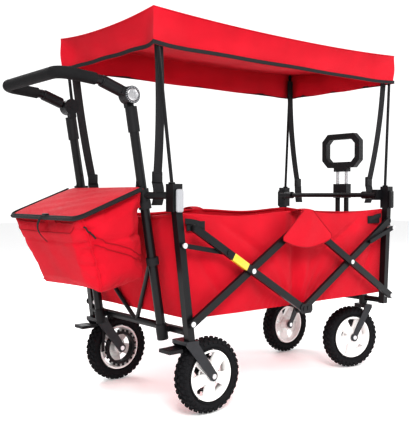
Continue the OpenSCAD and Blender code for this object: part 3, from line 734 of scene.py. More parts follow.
class WAGON_OT_tyres(WagonTask):
    """Block-tread tyres on the four wheels"""

    bl_idname = "wagon.tyres"
    bl_label = "Tyres"

    def make(self):
        half = TYRE_W / 2
        block = 0.0042
        crown = TYRE_R - block
        carcass = []
        for k in range(28):
            a = 2 * math.pi * k / 28
            depth = math.copysign(abs(math.cos(a)) ** 0.72, math.cos(a))
            y = (half - 0.0015) * math.copysign(abs(math.sin(a)) ** 0.8, math.sin(a))
            carcass.append(((crown + RIM_R) / 2 + (crown - RIM_R) / 2 * depth, y))
        tyre = spun("tyre", carcass, 120)
        count = sizes().tread_blocks
        pitch = 2 * math.pi / count
        rows = []
        for y, turn, skew in ((0.0048, 0.0, 0.35), (-0.0048, 0.5, -0.35)):
            row = tread_block("row", (0.0075, 0.0078, 0.0098), 0.86, TYRE_R - 0.0037, y, 0, skew)
            rows.append(copies(row, [Matrix.Rotation((k + turn) * pitch, 4, "Y") for k in range(count)]))
        for side in (1, -1):
            for reach, drop, tilt, offset in ((0.0138, 0.0026, 0.42, 0.25), (0.0192, 0.0098, 1.12, 0.75)):
                row = tread_block("row", (0.0066, 0.0084, 0.0104), 0.84, TYRE_R - 0.0034 - drop,
                                  side * reach, side * tilt)
                turns = [Matrix.Rotation((k + offset + 0.25 * side) * pitch, 4, "Y") for k in range(count)]
                rows.append(copies(row, turns))
        bead = spun("bead", [(RIM_R + 0.0045 + 0.0016 * math.cos(a), half - 0.0020 + 0.0016 * math.sin(a))
                             for a in (k * math.pi / 4 for k in range(8))], 96)
        other = twin(bead, "bead_inner", Matrix.Scale(-1, 4, (0, 1, 0)))
        tyre = join("tyre", tyre, *rows, bead, other)
        take(tyre)
        bpy.ops.object.shade_smooth_by_angle(angle=math.radians(32))
        for key in WHEELS:
            piece = twin(tyre, f"{key}_treaded_tyre", wheel_place(key))
            fit(piece, f"{key}_wheel", "tyre_black", stands_for=[f"{key}_tyre"])
        bpy.data.objects.remove(tyre)


class WAGON_OT_rims(WagonTask):
    """White five-spoke rims with dished spokes and centre caps"""

    bl_idname = "wagon.rims"
    bl_label = "Rims"

    def spoke(self):
        """A flared spoke: a block stretched to the barrel, waisted, dished and rounded."""
        inner, outer = 0.011, RIM_R - 0.006
        piece = block("spoke", (outer - inner, 0.013, 0.038), ((inner + outer) / 2, 0.008, 0))
        choose(piece, lambda e: abs(e.verts[0].co.x - e.verts[1].co.x) > 0.02, "EDGE")
        bpy.ops.mesh.subdivide(number_cuts=7)
        leave_edit()

        def waist(p):
            t = (p.x - inner) / (outer - inner)
            width = 0.62 + 0.30 * t + 0.22 * t ** 5
            return Vector((p.x, p.y + 0.005 * (1 - t) ** 2 - 0.002 * t, p.z * width))

        mould(piece, waist)
        choose(piece, lambda f: f.normal.y > 0.8)
        bpy.ops.mesh.inset(thickness=0.0026, depth=-0.0022)
        leave_edit()
        bevel(piece, 0.0010, 2, 40)
        return piece

    def make(self):
        half = TYRE_W / 2 - 0.004
        wall = 0.0030
        lip = RIM_R
        barrel = [(lip, half), (lip, half - 0.003), (lip - 0.002, half - 0.005), (lip - 0.002, 0.004 - half),
                  (lip, 0.003 - half), (lip, -half), (lip - 0.005, -half), (lip - 0.0075, 0.004 - half),
                  (lip - 0.0075 - wall, 0.0), (lip - 0.0075, half - 0.005), (lip - 0.0050, half)]
        parts = [spun("barrel", barrel, 96)]
        turns = [2 * math.pi * k / 5 + math.pi / 2 for k in range(5)]
        parts.append(copies(self.spoke(), [Matrix.Rotation(a, 4, "Y") for a in turns]))
        hub = [(0.0061, -0.019), (0.0150, -0.019), (0.0170, -0.017), (0.0170, 0.010), (0.0185, 0.0135),
               (0.0165, 0.0190), (0.0061, 0.0190)]
        parts.append(spun("hub", hub, 48))
        ring = [(0.0300 + 0.0018 * math.cos(a), 0.003 + 0.0030 * math.sin(a))
                for a in (k * math.pi / 5 for k in range(10))]
        parts.append(spun("stiffening_ring", ring, 64))
        rim = join("rim", *parts)
        take(rim)
        bpy.ops.object.shade_smooth_by_angle(angle=math.radians(38))
        for key in WHEELS:
            piece = twin(rim, f"{key}_spoked_rim", wheel_place(key))
            fit(piece, f"{key}_wheel", "rim_white", stands_for=[f"{key}_rim"])
        bpy.data.objects.remove(rim)


class WAGON_OT_canopy(WagonTask):
    """One sewn sheet: a dished roof, sagging hems and a black binding"""

    bl_idname = "wagon.canopy"
    bl_label = "Canopy"

    def make(self):
        lo, hi = low("canopy"), high("canopy")
        size = hi - lo
        drop = size.z
        dish, sag = sizes().roof_dish, sizes().hem_sag
        steps_x, steps_y, rows = 72, 36, 12
        sheet = primitive("grid", "canopy_cloth", x_subdivisions=steps_x, y_subdivisions=steps_y, size=1)
        for k in range(rows):
            choose(sheet, lambda e: len(e.link_faces) == 1, "EDGE")
            bpy.ops.mesh.extrude_region_move(TRANSFORM_OT_translate={"value": (0, 0, -1)})
            leave_edit()

        def drape(p):
            u, v = p.x + 0.5, p.y + 0.5
            down = -p.z / rows
            edge = max(0.0, 1 - min(u, 1 - u, v, 1 - v) * 9)
            along_x, along_y = dome(u, 2.2), dome(v, 2.2)
            on_end = min(u, 1 - u) < 0.001
            on_side = min(v, 1 - v) < 0.001
            rim_sag = sag * (along_x if on_side and not on_end else along_y if on_end and not on_side else 0)
            if down == 0 and not (on_end or on_side):
                rim_sag = sag * (along_x * (1 - dome(v, 8)) + along_y * (1 - dome(u, 8)))
                rim_sag = min(rim_sag, sag) * min(1, edge + 0.15)
            inner = dish * dome(u, 3) ** 0.8 * dome(v, 2.4) ** 0.9 if down == 0 else 0
            ripple = 0.0014 * math.sin(23 * u + 9 * v) + 0.0010 * math.sin(41 * v - 13 * u + 1.0)
            x = lo.x + size.x * u
            y = lo.y + size.y * v
            pull = 0.013 * (1 - (1 - down) ** 2) + 0.007 * math.sin(math.pi * down)
            corner = 1 - min(1, along_x * 2.2) if on_side else 1 - min(1, along_y * 2.2)
            wander = 0.0024 * math.sin(6.2 * down + 21 * (u + v)) * down
            if on_side:
                y += (1 if v < 0.5 else -1) * (pull * (1 - corner) + wander + 0.001)
            if on_end:
                x += (1 if u < 0.5 else -1) * (pull * (1 - corner) + wander + 0.001)
            hem = 0.35 * rim_sag + 0.003 * math.sin(17 * (u + 0.7 * v)) * (1 if down else 0) * down
            z = hi.z - 0.0016 - rim_sag * (1 - 0.45 * down) - inner - (drop - 0.004) * down - hem * 0.2
            if down == 0:
                z += ripple * (1 - edge)
            return Vector((x, y, max(z, lo.z)))

        mould(sheet, drape)
        corners = [(-0.5, -0.5), (0.5, -0.5), (0.5, 0.5), (-0.5, 0.5)]
        rim = []
        for (u0, v0), (u1, v1) in zip(corners, corners[1:] + corners[:1]):
            for k in range(steps_x):
                t = k / steps_x
                rim.append(drape(Vector((u0 + (u1 - u0) * t, v0 + (v1 - v0) * t, -rows))))
        thicken(sheet, 0.0014, -1)
        settle(sheet, 50)
        fit(sheet, "push_frame", "red_fabric", stands_for=["canopy"])
        gather(sheet, lo.x, size.x)
        self.binding(rim)
        self.seam(lo, hi)

    def binding(self, rim):
        """Folded black tape over the hem."""
        band = sizes().binding
        tape = primitive("circle", "canopy_binding", vertices=len(rim), radius=1)
        for vertex, place in zip(tape.data.vertices, rim):
            vertex.co = place + Vector((0, 0, 0.0002))
        choose(tape, lambda v: True, "VERT")
        bpy.ops.mesh.extrude_edges_move(TRANSFORM_OT_translate={"value": (0, 0, band)})
        leave_edit()
        thicken(tape, 0.0042)
        settle(tape, 50)
        fit(tape, "push_frame", "red_fabric", "webbing")
        gather(tape, low("canopy").x, (high("canopy") - low("canopy")).x)

    def seam(self, lo, hi):
        """Rolled seam between the roof and the valance."""
        sag = sizes().hem_sag
        points = []
        corners = [(lo.x, lo.y), (hi.x, lo.y), (hi.x, hi.y), (lo.x, hi.y)]
        for k, (x, y) in enumerate(corners):
            nx, ny = corners[(k + 1) % 4]
            for s in range(24):
                t = s / 24
                points.append((x + (nx - x) * t, y + (ny - y) * t, hi.z - 0.0024 - sag * dome(t, 2.2)))
        inset = 0.0014
        points = [(min(max(x, lo.x + inset), hi.x - inset), min(max(y, lo.y + inset), hi.y - inset), z)
                  for x, y, z in points]
        cord = tube("canopy_seam", points, 0.0015, closed=True, sides=2)
        fit(cord, "push_frame", "red_fabric")
        gather(cord, lo.x, hi.x - lo.x)


def crease_at(x, y, x0, y0, x1, y1, width):
    """A soft ridge along a line between two points, fading at its ends."""
    dx, dy = x1 - x0, y1 - y0
    t = ((x - x0) * dx + (y - y0) * dy) / (dx * dx + dy * dy)
    off = math.hypot(x - x0 - t * dx, y - y0 - t * dy)
    return math.exp(-(off / width) ** 2) * dome(min(1, max(0, t)), 3)


WALL_FOLDS = (
    (0.10, 0.72, 0.36, 0.04, 0.035),
    (0.30, 0.98, 0.88, 0.40, 0.030),
    (0.46, 0.66, 0.72, 0.02, 0.040),
    (1.28, 0.02, 1.62, 0.70, 0.038),
    (1.12, 0.40, 1.74, 0.96, 0.028),
    (1.72, 0.06, 1.92, 0.74, 0.032),
)


class WAGON_OT_tub(WagonTask):
    """The tub's long walls, end walls and floor cloth"""

    bl_idname = "wagon.tub"
    bl_label = "Tub"

    def long_wall(self, name, side):
        lo, hi = low("tub_body"), high("tub_body")
        bulge = sizes().wall_bulge
        y0 = hi.y - 0.0028
        wall = primitive("grid", name, x_subdivisions=110, y_subdivisions=34, size=1)

        def shape(p):
            u, v = p.x + 0.5, p.y + 0.5
            z = lo.z + (hi.z - lo.z) * v
            top = 0.010 * (math.sin(2 * math.pi * u) ** 2) * v ** 3
            z -= top
            x0, x1 = push_x(z) + 0.004, pull_x(z) - 0.004
            x = x0 + (x1 - x0) * u
            free = dome(u, 6) * (0.35 + 0.65 * dome(v, 3))
            swell = bulge * free * (0.55 + 0.45 * math.sin(2 * math.pi * u - 0.5) ** 2)
            fold = bump_at(u, 0.5, 0.022) * (1 - 0.55 * v) * 0.016
            flank = (bump_at(u, 0.455, 0.02) + bump_at(u, 0.545, 0.02)) * (1 - 0.6 * v) * 0.007
            fan = math.sin(70 * math.atan2(u - 0.5, 0.9 * v + 0.12)) * bump_at(u, 0.5, 0.16) * (1 - v) ** 1.5
            drag = math.sin(34 * (u + 0.55 * v)) * bump_at(u, 0.12, 0.12) + \
                math.sin(34 * (u - 0.55 * v)) * bump_at(u, 0.88, 0.12)
            folds = sum(crease_at(2 * u, v, *line) for line in WALL_FOLDS)
            crinkle = 0.0020 * drag * free + 0.0030 * fan + 0.0008 * math.sin(61 * u + 17 * v) * free
            crinkle -= 0.0055 * folds * min(1, free * 3)
            y = y0 + swell - fold + flank * 0.6 + crinkle
            return Vector((x, side * max(y, y0 - 0.014), z))

        mould(wall, shape)
        thicken(wall, sizes().wall_thickness)
        settle(wall, 55)
        self.dress(wall, push_x(lo.z) - 0.018, pull_x(lo.z) + 0.008, ["tub_body"])

    def dress(self, piece, anchor, far_end, nodes=(), body="push_frame"):
        fit(piece, body, "red_fabric", stands_for=nodes)
        gather(piece, anchor, far_end - anchor)

    def floor(self):
        lo, hi = low("tub_body"), high("tub_body")
        z = lo.z + 0.0015
        cloth = primitive("grid", "tub_floor_cloth", x_subdivisions=60, y_subdivisions=30, size=1)
        x0, x1 = PUSH.x + 0.012, PULL.x - 0.012
        width = 2 * (hi.y - 0.007)

        def shape(p):
            sag = 0.0012 * math.sin(9 * p.x) * math.cos(7 * p.y)
            return Vector(((x0 + x1) / 2 + (x1 - x0) * p.x, width * p.y, z + sag * 0.4))

        mould(cloth, shape)
        thicken(cloth, 0.002)
        settle(cloth)
        fit(cloth, "push_frame", "red_fabric")
        gather(cloth, x0, x1 - x0)

    def end_wall(self, name, node, body, edge, outward):
        lo, hi = low(node), high(node)
        panel = primitive("grid", name, x_subdivisions=44, y_subdivisions=30, size=1)
        inset = 0.003

        def shape(p):
            s, v = p.x + 0.5, p.y + 0.5
            z = lo.z + 0.001 + (hi.z - lo.z - 0.001) * v
            z -= 0.012 * dome(s, 2.4) * v ** 4
            swell = 0.009 * dome(s, 3) * dome(v, 3) + 0.0014 * math.sin(30 * s + 12 * v) * dome(s, 4)
            x = edge(z) + outward * (swell - inset)
            return Vector((x, (s - 0.5) * (hi.y - lo.y), z))

        mould(panel, shape)
        thicken(panel, sizes().wall_thickness)
        settle(panel, 55)
        fit(panel, body, "red_fabric", stands_for=[node])
        hem = [Vector((edge(hi.z) - outward * inset, y, hi.z - 0.012 * dome((y - lo.y) / (hi.y - lo.y), 2.4)))
               for y in (lo.y + (hi.y - lo.y) * k / 24 for k in range(25))]
        roll = tube(f"{name}_hem", [tuple(p) for p in hem], 0.0042)
        fit(roll, body, "red_fabric")

    def hem(self, name, side):
        """Rolled hem along a long wall's top edge."""
        hi = high("tub_body")
        points = []
        for k in range(61):
            u = k / 60
            z = hi.z - 0.010 * math.sin(2 * math.pi * u) ** 2
            x = push_x(z) + 0.004 + (pull_x(z) - push_x(z) - 0.008) * u
            points.append((x, side * (hi.y - 0.0028), z - 0.001))
        roll = tube(name, points, 0.0040)
        anchor, far_end = push_x(hi.z), pull_x(hi.z)
        fit(roll, "push_frame", "red_fabric")
        gather(roll, anchor, far_end - anchor)

    def make(self):
        for word, side in SIDES.items():
            self.long_wall(f"{word}_long_wall", side)
            self.hem(f"{word}_wall_hem", side)
        self.floor()
        self.end_wall("push_end_wall", "push_panel", "push_frame", push_x, -1)
        self.end_wall("pull_end_wall", "pull_panel", "pull_frame", pull_x, 1)


def inflate(piece, pressure, cap, voxel=0.006, frames=16):
    """Cloth simulation: the closed piece swells like a filled cover, with each point's travel capped."""
    modify(piece, "REMESH", mode="VOXEL", voxel_size=voxel)
    rest = [v.co.copy() for v in piece.data.vertices]
    take(piece)
    cloth = piece.modifiers.new("cloth", "CLOTH")
    cloth.settings.quality = 5
    cloth.settings.mass = 0.25
    cloth.settings.tension_stiffness = 25
    cloth.settings.compression_stiffness = 25
    cloth.settings.bending_stiffness = 0.6
    cloth.settings.use_pressure = True
    cloth.settings.uniform_pressure_force = pressure
    cloth.settings.effector_weights.gravity = 0
    cloth.collision_settings.use_collision = False
    cloth.point_cache.frame_start = 1
    cloth.point_cache.frame_end = frames
    for number in range(1, frames + 1):
        bpy.context.scene.frame_set(number)
    bpy.ops.object.modifier_apply(modifier=cloth.name)
    bpy.context.scene.frame_set(1)
    for vertex, start in zip(piece.data.vertices, rest):
        moved = vertex.co - start
        if moved.length > cap:
            vertex.co = start + moved.normalized() * cap
    return piece


class WAGON_OT_floor_mat(WagonTask):
    """Two padded halves of the floor mat, swollen by cloth simulation and quilted"""

    bl_idname = "wagon.floor_mat"
    bl_label = "Floor mat"

    def make(self):
        for node in ("push_mat", "pull_mat"):
            lo, hi = low(node), high(node)
            size = hi - lo
            pad = primitive("cube", f"{node}_pad", at=(lo + hi) / 2, size=1)
            pad.scale = (size.x - 0.006, size.y - 0.006, size.z - 0.002)
            take(pad)
            bpy.ops.object.transform_apply(location=True, rotation=True, scale=True)
            inflate(pad, 2.0, 0.004, 0.0055, 10)
            floor = lo.z + 0.0003

            def quilt(p, lo=lo, size=size, floor=floor):
                u = (p.x - lo.x) / size.x
                channel = sum(bump_at(u, place, 0.008) for place in (0.25, 0.5, 0.75))
                z = p.z - 0.0022 * channel if p.z > floor + 0.004 else p.z
                return Vector((min(max(p.x, lo.x), lo.x + size.x), p.y, max(z, floor)))

            mould(pad, quilt)
            settle(pad, 60)
            # The pads take the floor_fabric finish: the red cloth painted darker as shade.
            fit(pad, "push_frame", "floor_fabric", stands_for=[node])
            gather(pad, PUSH.x, PULL.x - PUSH.x)


class WAGON_OT_pivot_flaps(WagonTask):
    """Curved cloth flaps that hang over the side bars' top pivots"""

    bl_idname = "wagon.pivot_flaps"
    bl_label = "Pivot flaps"

    def make(self):
        lo, hi = low("pivot_covers"), high("pivot_covers")
        half = (hi.x - lo.x) / 2
        inner = high("tub_body").y + 0.001
        outer = hi.y + 0.0020
        across = 0.30
        reach = hi.z - lo.z - 0.002

        def hung(u, t):
            """A point of the hanging part: narrow at the wall's edge, wide and arched at the foot."""
            w = 2 * u - 1
            spread = min(1, 0.20 + 0.92 * t)
            z = hi.z - 0.0015 - 0.002 * abs(w) ** 3 - reach * t * (1 - 0.24 * w * w)
            swell = 0.0035 * math.sin(math.pi * t) * dome(u, 2) + 0.0016 * math.sin(11 * u + 4 * t) * t
            return Vector((CENTRE_X + half * w * spread, outer - 0.003 + swell, z))

        step = 1 / 40
        cut_area = 0.4 * half * (outer - inner)
        for u, t in ((i * step, j * step) for i in range(40) for j in range(40)):
            at = hung(u, t)
            cut_area += abs((hung(u + step, t) - at).cross(hung(u, t + step) - at).y)

        for word, side in SIDES.items():
            flap = primitive("grid", f"{word}_pivot_flap", x_subdivisions=40, y_subdivisions=34, size=1)

            def shape(p, side=side):
                u, v = p.x + 0.5, p.y + 0.5
                t = max(0.0, (v - across) / (1 - across))
                q = hung(u, t)
                if v < across:
                    k = v / across
                    q.y = inner + (q.y - inner) * k
                    q.z += 0.003 * math.sin(math.pi * k) - 0.004 * (1 - k) ** 2
                return Vector((q.x, side * q.y, q.z))

            mould(flap, shape)
            thicken(flap, 0.0018)
            settle(flap, 55)
            fit(flap, "top_plates", "red_fabric", stands_for=["pivot_covers"] if side < 0 else ())
            outline = [(0, k / 16) for k in range(16)] + [(k / 32, 1) for k in range(33)]
            outline += [(1, 1 - k / 16) for k in range(1, 17)]
            rim = [(q.x, side * (q.y + 0.0008), q.z) for q in (hung(u, t) for u, t in outline)]
            # The piping takes the darker floor_fabric finish: painted shade round the flap's edge.
            fit(tube(f"{word}_flap_piping", rim, 0.0014, sides=2), "top_plates", "red_fabric", "floor_fabric")


# ---------------------------------------------------------------- storage bag


BAG_LO, BAG_HI = low("bag_shell"), high("bag_shell")
LID_LO, LID_HI = low("bag_lid"), high("bag_lid")
LID_RISE = (LID_HI.z - LID_LO.z - 0.008) / (LID_HI.x - LID_LO.x)


def bag_inner_x(z):
    """The bag's face along the uprights: from the lid's inner edge down to the foot of the bag."""
    return LID_HI.x + (LID_HI.z - z) * math.tan(HANDLE_SLOPE)


def bag_outer_x(z):
    """The bag's outer face: from its low front edge up to the lid's outer edge."""
    t = (z - BAG_LO.z) / (LID_LO.z + 0.008 - BAG_LO.z)
    foot = LID_LO.x + 0.083
    return foot + (LID_LO.x - foot) * t


def lid_z(x):
    return LID_HI.z - (LID_HI.x - x) * LID_RISE


class WAGON_OT_bag(WagonTask):
    """The storage bag: a shell swollen by cloth simulation, cut open at its mouth and lined"""

    bl_idname = "wagon.bag"
    bl_label = "Storage bag"

    def make(self):
        half = BAG_HI.y
        body = primitive("cube", "bag_body", size=1)
        choose(body, lambda f: True)
        bpy.ops.mesh.subdivide(number_cuts=11)
        leave_edit()

        def outline(p):
            u, s, v = p.x + 0.5, p.y * 2, p.z + 0.5
            taper = 0.012 + 0.030 * (1 - v) ** 1.6
            z0 = BAG_LO.z + 0.030 * u + 0.006
            inner = bag_inner_x(z0 + 0.5 * (LID_LO.z - z0) * v) - 0.006
            outer = bag_outer_x(BAG_LO.z + (LID_LO.z + 0.008 - BAG_LO.z) * v) + 0.007
            x = outer + (inner - outer) * u
            z1 = lid_z(x) - 0.003
            z = z0 + (z1 - z0) * v
            x = bag_outer_x(min(z, LID_LO.z)) + 0.007 if u < 0.001 else x
            x = bag_inner_x(z) - 0.006 if u > 0.999 else x
            return Vector((x, s * (half - taper), z))

        mould(body, outline)
        inflate(body, 3.0, 0.012, 0.0065, 14)

        def relax(p):
            v = (p.z - BAG_LO.z) / (lid_z(p.x) - BAG_LO.z)
            slack = 0.0026 * math.sin(38 * p.z + 21 * p.y) + 0.0022 * math.sin(55 * p.y - 30 * p.z + 9 * p.x)
            seam = bump_at(p.z, 0.452 + 0.10 * (p.x - LID_LO.x), 0.0045)
            centre = Vector(((BAG_LO.x + LID_HI.x) / 2, 0, p.z))
            away = (p - centre).normalized()
            limit = bag_inner_x(p.z) - 0.0035
            q = p + away * (slack * dome(min(1, max(0, v)), 2) - 0.004 * seam)
            q.x = min(q.x, limit)
            q.x = max(q.x, BAG_LO.x + 0.0005)
            q.y = max(-half + 0.001, min(half - 0.001, q.y))
            q.z = max(q.z, BAG_LO.z + 0.001)
            return q

        mould(body, relax)
        take(body)
        bpy.ops.object.mode_set(mode="EDIT")
        bpy.ops.mesh.select_all(action="SELECT")
        slope = Vector((-LID_RISE, 0, 1)).normalized()
        mouth = Vector((LID_LO.x, 0, lid_z(LID_LO.x) - 0.0105))
        bpy.ops.mesh.bisect(plane_co=mouth, plane_no=slope, clear_outer=True)
        leave_edit()
        thicken(body, 0.0022, -1)
        settle(body, 60, 0.00001)
        fit(body, "push_frame", "red_fabric", stands_for=["bag_shell"])
        self.trims(half, body)

    def line_on(self, body, points, lift=0.0006):
        """Points dropped on to the bag's cloth."""
        laid = []
        for p in points:
            hit, place, normal, index = body.closest_point_on_mesh(Vector(p))
            laid.append(place + normal * lift)
        return laid

    def stitched(self, body, name, first, last, radius, look="red_fabric", slot="red_fabric"):
        points = [Vector(first).lerp(Vector(last), k / 24) for k in range(25)]
        seam = tube(name, [tuple(p) for p in self.line_on(body, points)], radius, sides=2)
        fit(seam, "push_frame", slot, look)

    def trims(self, half, body):
        """Corner seams, the folded gussets with their cords, loops round the uprights and the elastics."""
        upright_y = middle("handle_uprights").y + (high("handle_uprights").y - 0.012)
        front = LID_LO.x
        for word, side in SIDES.items():
            self.stitched(body, f"{word}_bag_corner_seam", (front + 0.004, side * half, 0.560),
                          (front + 0.086, side * (half - 0.02), BAG_LO.z), 0.0022)
            gusset = [((front + 0.040, side * half, 0.468), (BAG_HI.x - 0.014, side * half, 0.412)),
                      ((front + 0.046, side * half, 0.448), (BAG_HI.x - 0.030, side * half, 0.400))]
            for k, (first, last) in enumerate(gusset):
                # Gusset lines take the darker floor_fabric finish: painted shade along the folds.
                self.stitched(body, f"{word}_bag_gusset_{k}", first, last, 0.0013, "floor_fabric")
            start = Vector((front + 0.020, side * half, 0.492))
            end = Vector((front + 0.052, side * half, 0.462))
            cord = self.line_on(body, [start.lerp(end, k / 10) for k in range(11)], 0.0022)
            cord = tube(f"{word}_bag_cord", [tuple(p) for p in cord], 0.0020)
            fit(cord, "push_frame", "red_fabric", "piping")
            for level, z in (("upper", 0.545), ("lower", 0.40)):
                x = bag_inner_x(z) + 0.017
                radius, rise_of_loop = 0.0155, 0.0026
                turns = [2 * math.pi * k / 28 for k in range(29)]
                ring = [(x + radius * math.cos(a), side * upright_y + radius * math.sin(a),
                         z + rise_of_loop * math.cos(a)) for a in turns]
                loop = ribbon(f"{word}_{level}_bag_loop", ring, 0.020, 0.0014, (-0.16, 0, 1))
                fit(loop, "push_frame", "red_fabric", "webbing")
            rise = [(bag_inner_x(0.575) - 0.004, side * (upright_y - 0.002), 0.574),
                    (bag_inner_x(0.61) + 0.006, side * (upright_y - 0.003), 0.606),
                    (bag_inner_x(0.63) + 0.0185, side * (upright_y - 0.0165), 0.630)]
            cord = tube(f"{word}_bag_elastic", arc(*rise), 0.0022)
            fit(cord, "push_frame", "red_fabric", "piping")
        for k, z in enumerate((0.512, 0.470)):
            # Front seam lines take the darker floor_fabric finish: painted shade along the seams.
            self.stitched(body, f"bag_front_seam_{k}", (front - 0.02, -half + 0.02, z),
                          (front - 0.02, half - 0.02, z), 0.0012, "floor_fabric")


class WAGON_OT_bag_lid(WagonTask):
    """The bag's crowned lid with its zip piping and curved pull strap"""

    bl_idname = "wagon.bag_lid"
    bl_label = "Bag lid"

    def make(self):
        half = LID_HI.y
        x0, x1 = LID_LO.x, LID_HI.x
        lid = primitive("grid", "bag_lid_cloth", x_subdivisions=34, y_subdivisions=54, size=1)
        round_corner = 0.035

        def shape(p):
            u, s = p.x + 0.5, p.y * 2
            x = x0 + 0.001 + (x1 - x0 - 0.004) * u
            squeeze = 1 - round_corner / half * max(0, 1 - u / 0.16) ** 2 * 0.8
            y = s * (half - 0.001) * squeeze
            crown = 0.009 * dome(u, 2.4) * dome((s + 1) / 2, 3)
            sag = -0.0045 * bump_at(u, 0.45, 0.3) * bump_at((s + 1) / 2, 0.5, 0.2)
            creases = 0.0012 * math.sin(24 * u + 9 * s) * dome(u, 4) * dome((s + 1) / 2, 4)
            edge = max(abs(s) ** 16, (1 - u) ** 16)
            return Vector((x, y, lid_z(x) - 0.0065 + crown + sag + creases - 0.004 * edge))

        mould(lid, shape)
        thicken(lid, 0.004)
        settle(lid, 60)
        fit(lid, "bag_lid", "red_fabric", stands_for=["bag_lid"])
        edge = []
        for k in range(22):
            edge.append((x1 - 0.006 - (x1 - x0 - 0.032) * k / 21, 1.0))
        for k in range(1, 7):
            a = k / 6 * math.pi / 2
            edge.append((x0 + 0.026 - 0.0235 * math.sin(a), (half - 0.028 * (1 - math.cos(a))) / half))
        for k in range(1, 15):
            edge.append((x0 + 0.0025, (half - 0.028) / half * (1 - k / 14)))
        near_half = [(x, -(half - 0.0018) * w, lid_z(x) - 0.0098) for x, w in edge]
        whole = near_half + [(x, -y, z) for x, y, z in reversed(near_half[:-1])]
        fit(tube("bag_zip_piping", whole, 0.0048), "bag_lid", "black_plastic", "piping")
        ladder = [(x, y, z + 0.0055) for x, y, z in whole]
        fit(tube("bag_zip_tape", ladder, 0.0019), "bag_lid", "black_plastic", "piping")
        start = Vector((x0 + 0.001, -half * 0.10, lid_z(x0) - 0.002))
        middle_point = Vector((x0 - 0.007, -half * 0.02, lid_z(x0) - 0.034))
        end = Vector((x0 - 0.001, -half * 0.22, lid_z(x0) - 0.066))
        fit(ribbon("bag_pull_strap", arc(start, middle_point, end, 14), 0.009, 0.0018, (0.1, 0.95, 0.3)),
            "bag_lid", "red_fabric", "webbing")
        fit(rounded("bag_zip_slider", start + Vector((0.003, -0.006, 0.001)), (0.010, 0.022, 0.007), 0.002, 3),
            "bag_lid", "black_plastic")


# ---------------------------------------------------------------- straps and fittings


class WAGON_OT_straps(WagonTask):
    """Canopy corner straps, their knots, and the hook-and-loop straps at the tub's corners"""

    bl_idname = "wagon.straps"
    bl_label = "Straps"

    def make(self):
        width = sizes().strap_width
        bottom = low("canopy").z + 0.02
        ends = {"push": (push_x, "push_frame", 1), "pull": (pull_x, "pull_frame", -1)}
        for end, (line, body, inward) in ends.items():
            for word, side in SIDES.items():
                y_top = side * (high("canopy").y - 0.024)
                y_low = side * 0.160
                top = (line(bottom) + inward * 0.010, y_top, bottom + 0.045)
                foot = (line(0.600) + inward * 0.002, y_low, 0.604)
                path = arc(top, ((top[0] + foot[0]) / 2, (y_top + y_low) / 2 + side * 0.012,
                                 (top[2] + foot[2]) / 2), foot, 16)
                strap = ribbon(f"{word}_{end}_canopy_strap", path, width, 0.0016, (1, 0, 0))
                fit(strap, body, "red_fabric", "webbing")
                tail = arc(foot, (foot[0] + 0.004, foot[1] + side * 0.002, foot[2] - 0.03),
                           (foot[0] + 0.002, foot[1] - side * 0.004, foot[2] - 0.060), 8)
                fit(ribbon(f"{word}_{end}_strap_tail", tail, width * 1.25, 0.0034, (1, 0, 0)),
                    body, "red_fabric", "webbing")
                knot = rounded(f"{word}_{end}_strap_buckle", Vector(foot) + Vector((0, side * 0.001, 0.012)),
                               (0.030, 0.009, 0.030), 0.003, 4)
                fit(knot, body, "black_plastic")
                self.patch(f"{word}_{end}", line, inward, side)

    def patch(self, name, line, inward, side):
        """Woven strap and patch at the tub's top corner."""
        z = high("tub_body").z - 0.030
        x = line(z) + inward * 0.060
        y = side * (high("tub_body").y + 0.0075)
        wide = rounded(f"{name}_corner_patch", (x, y, z), (0.060, 0.0022, 0.024), 0.001, 3)
        fit(wide, "push_frame" if inward > 0 else "pull_frame", "red_fabric", "webbing")
        run = arc((x + inward * 0.026, y + side * 0.0018, z - 0.002), (x, y + side * 0.0045, z + 0.008),
                  (x - inward * 0.036, y + side * 0.0018, z + 0.013), 10)
        fit(ribbon(f"{name}_corner_strap", run, 0.014, 0.0016, (0, 0, 1)),
            "push_frame" if inward > 0 else "pull_frame", "red_fabric", "webbing")


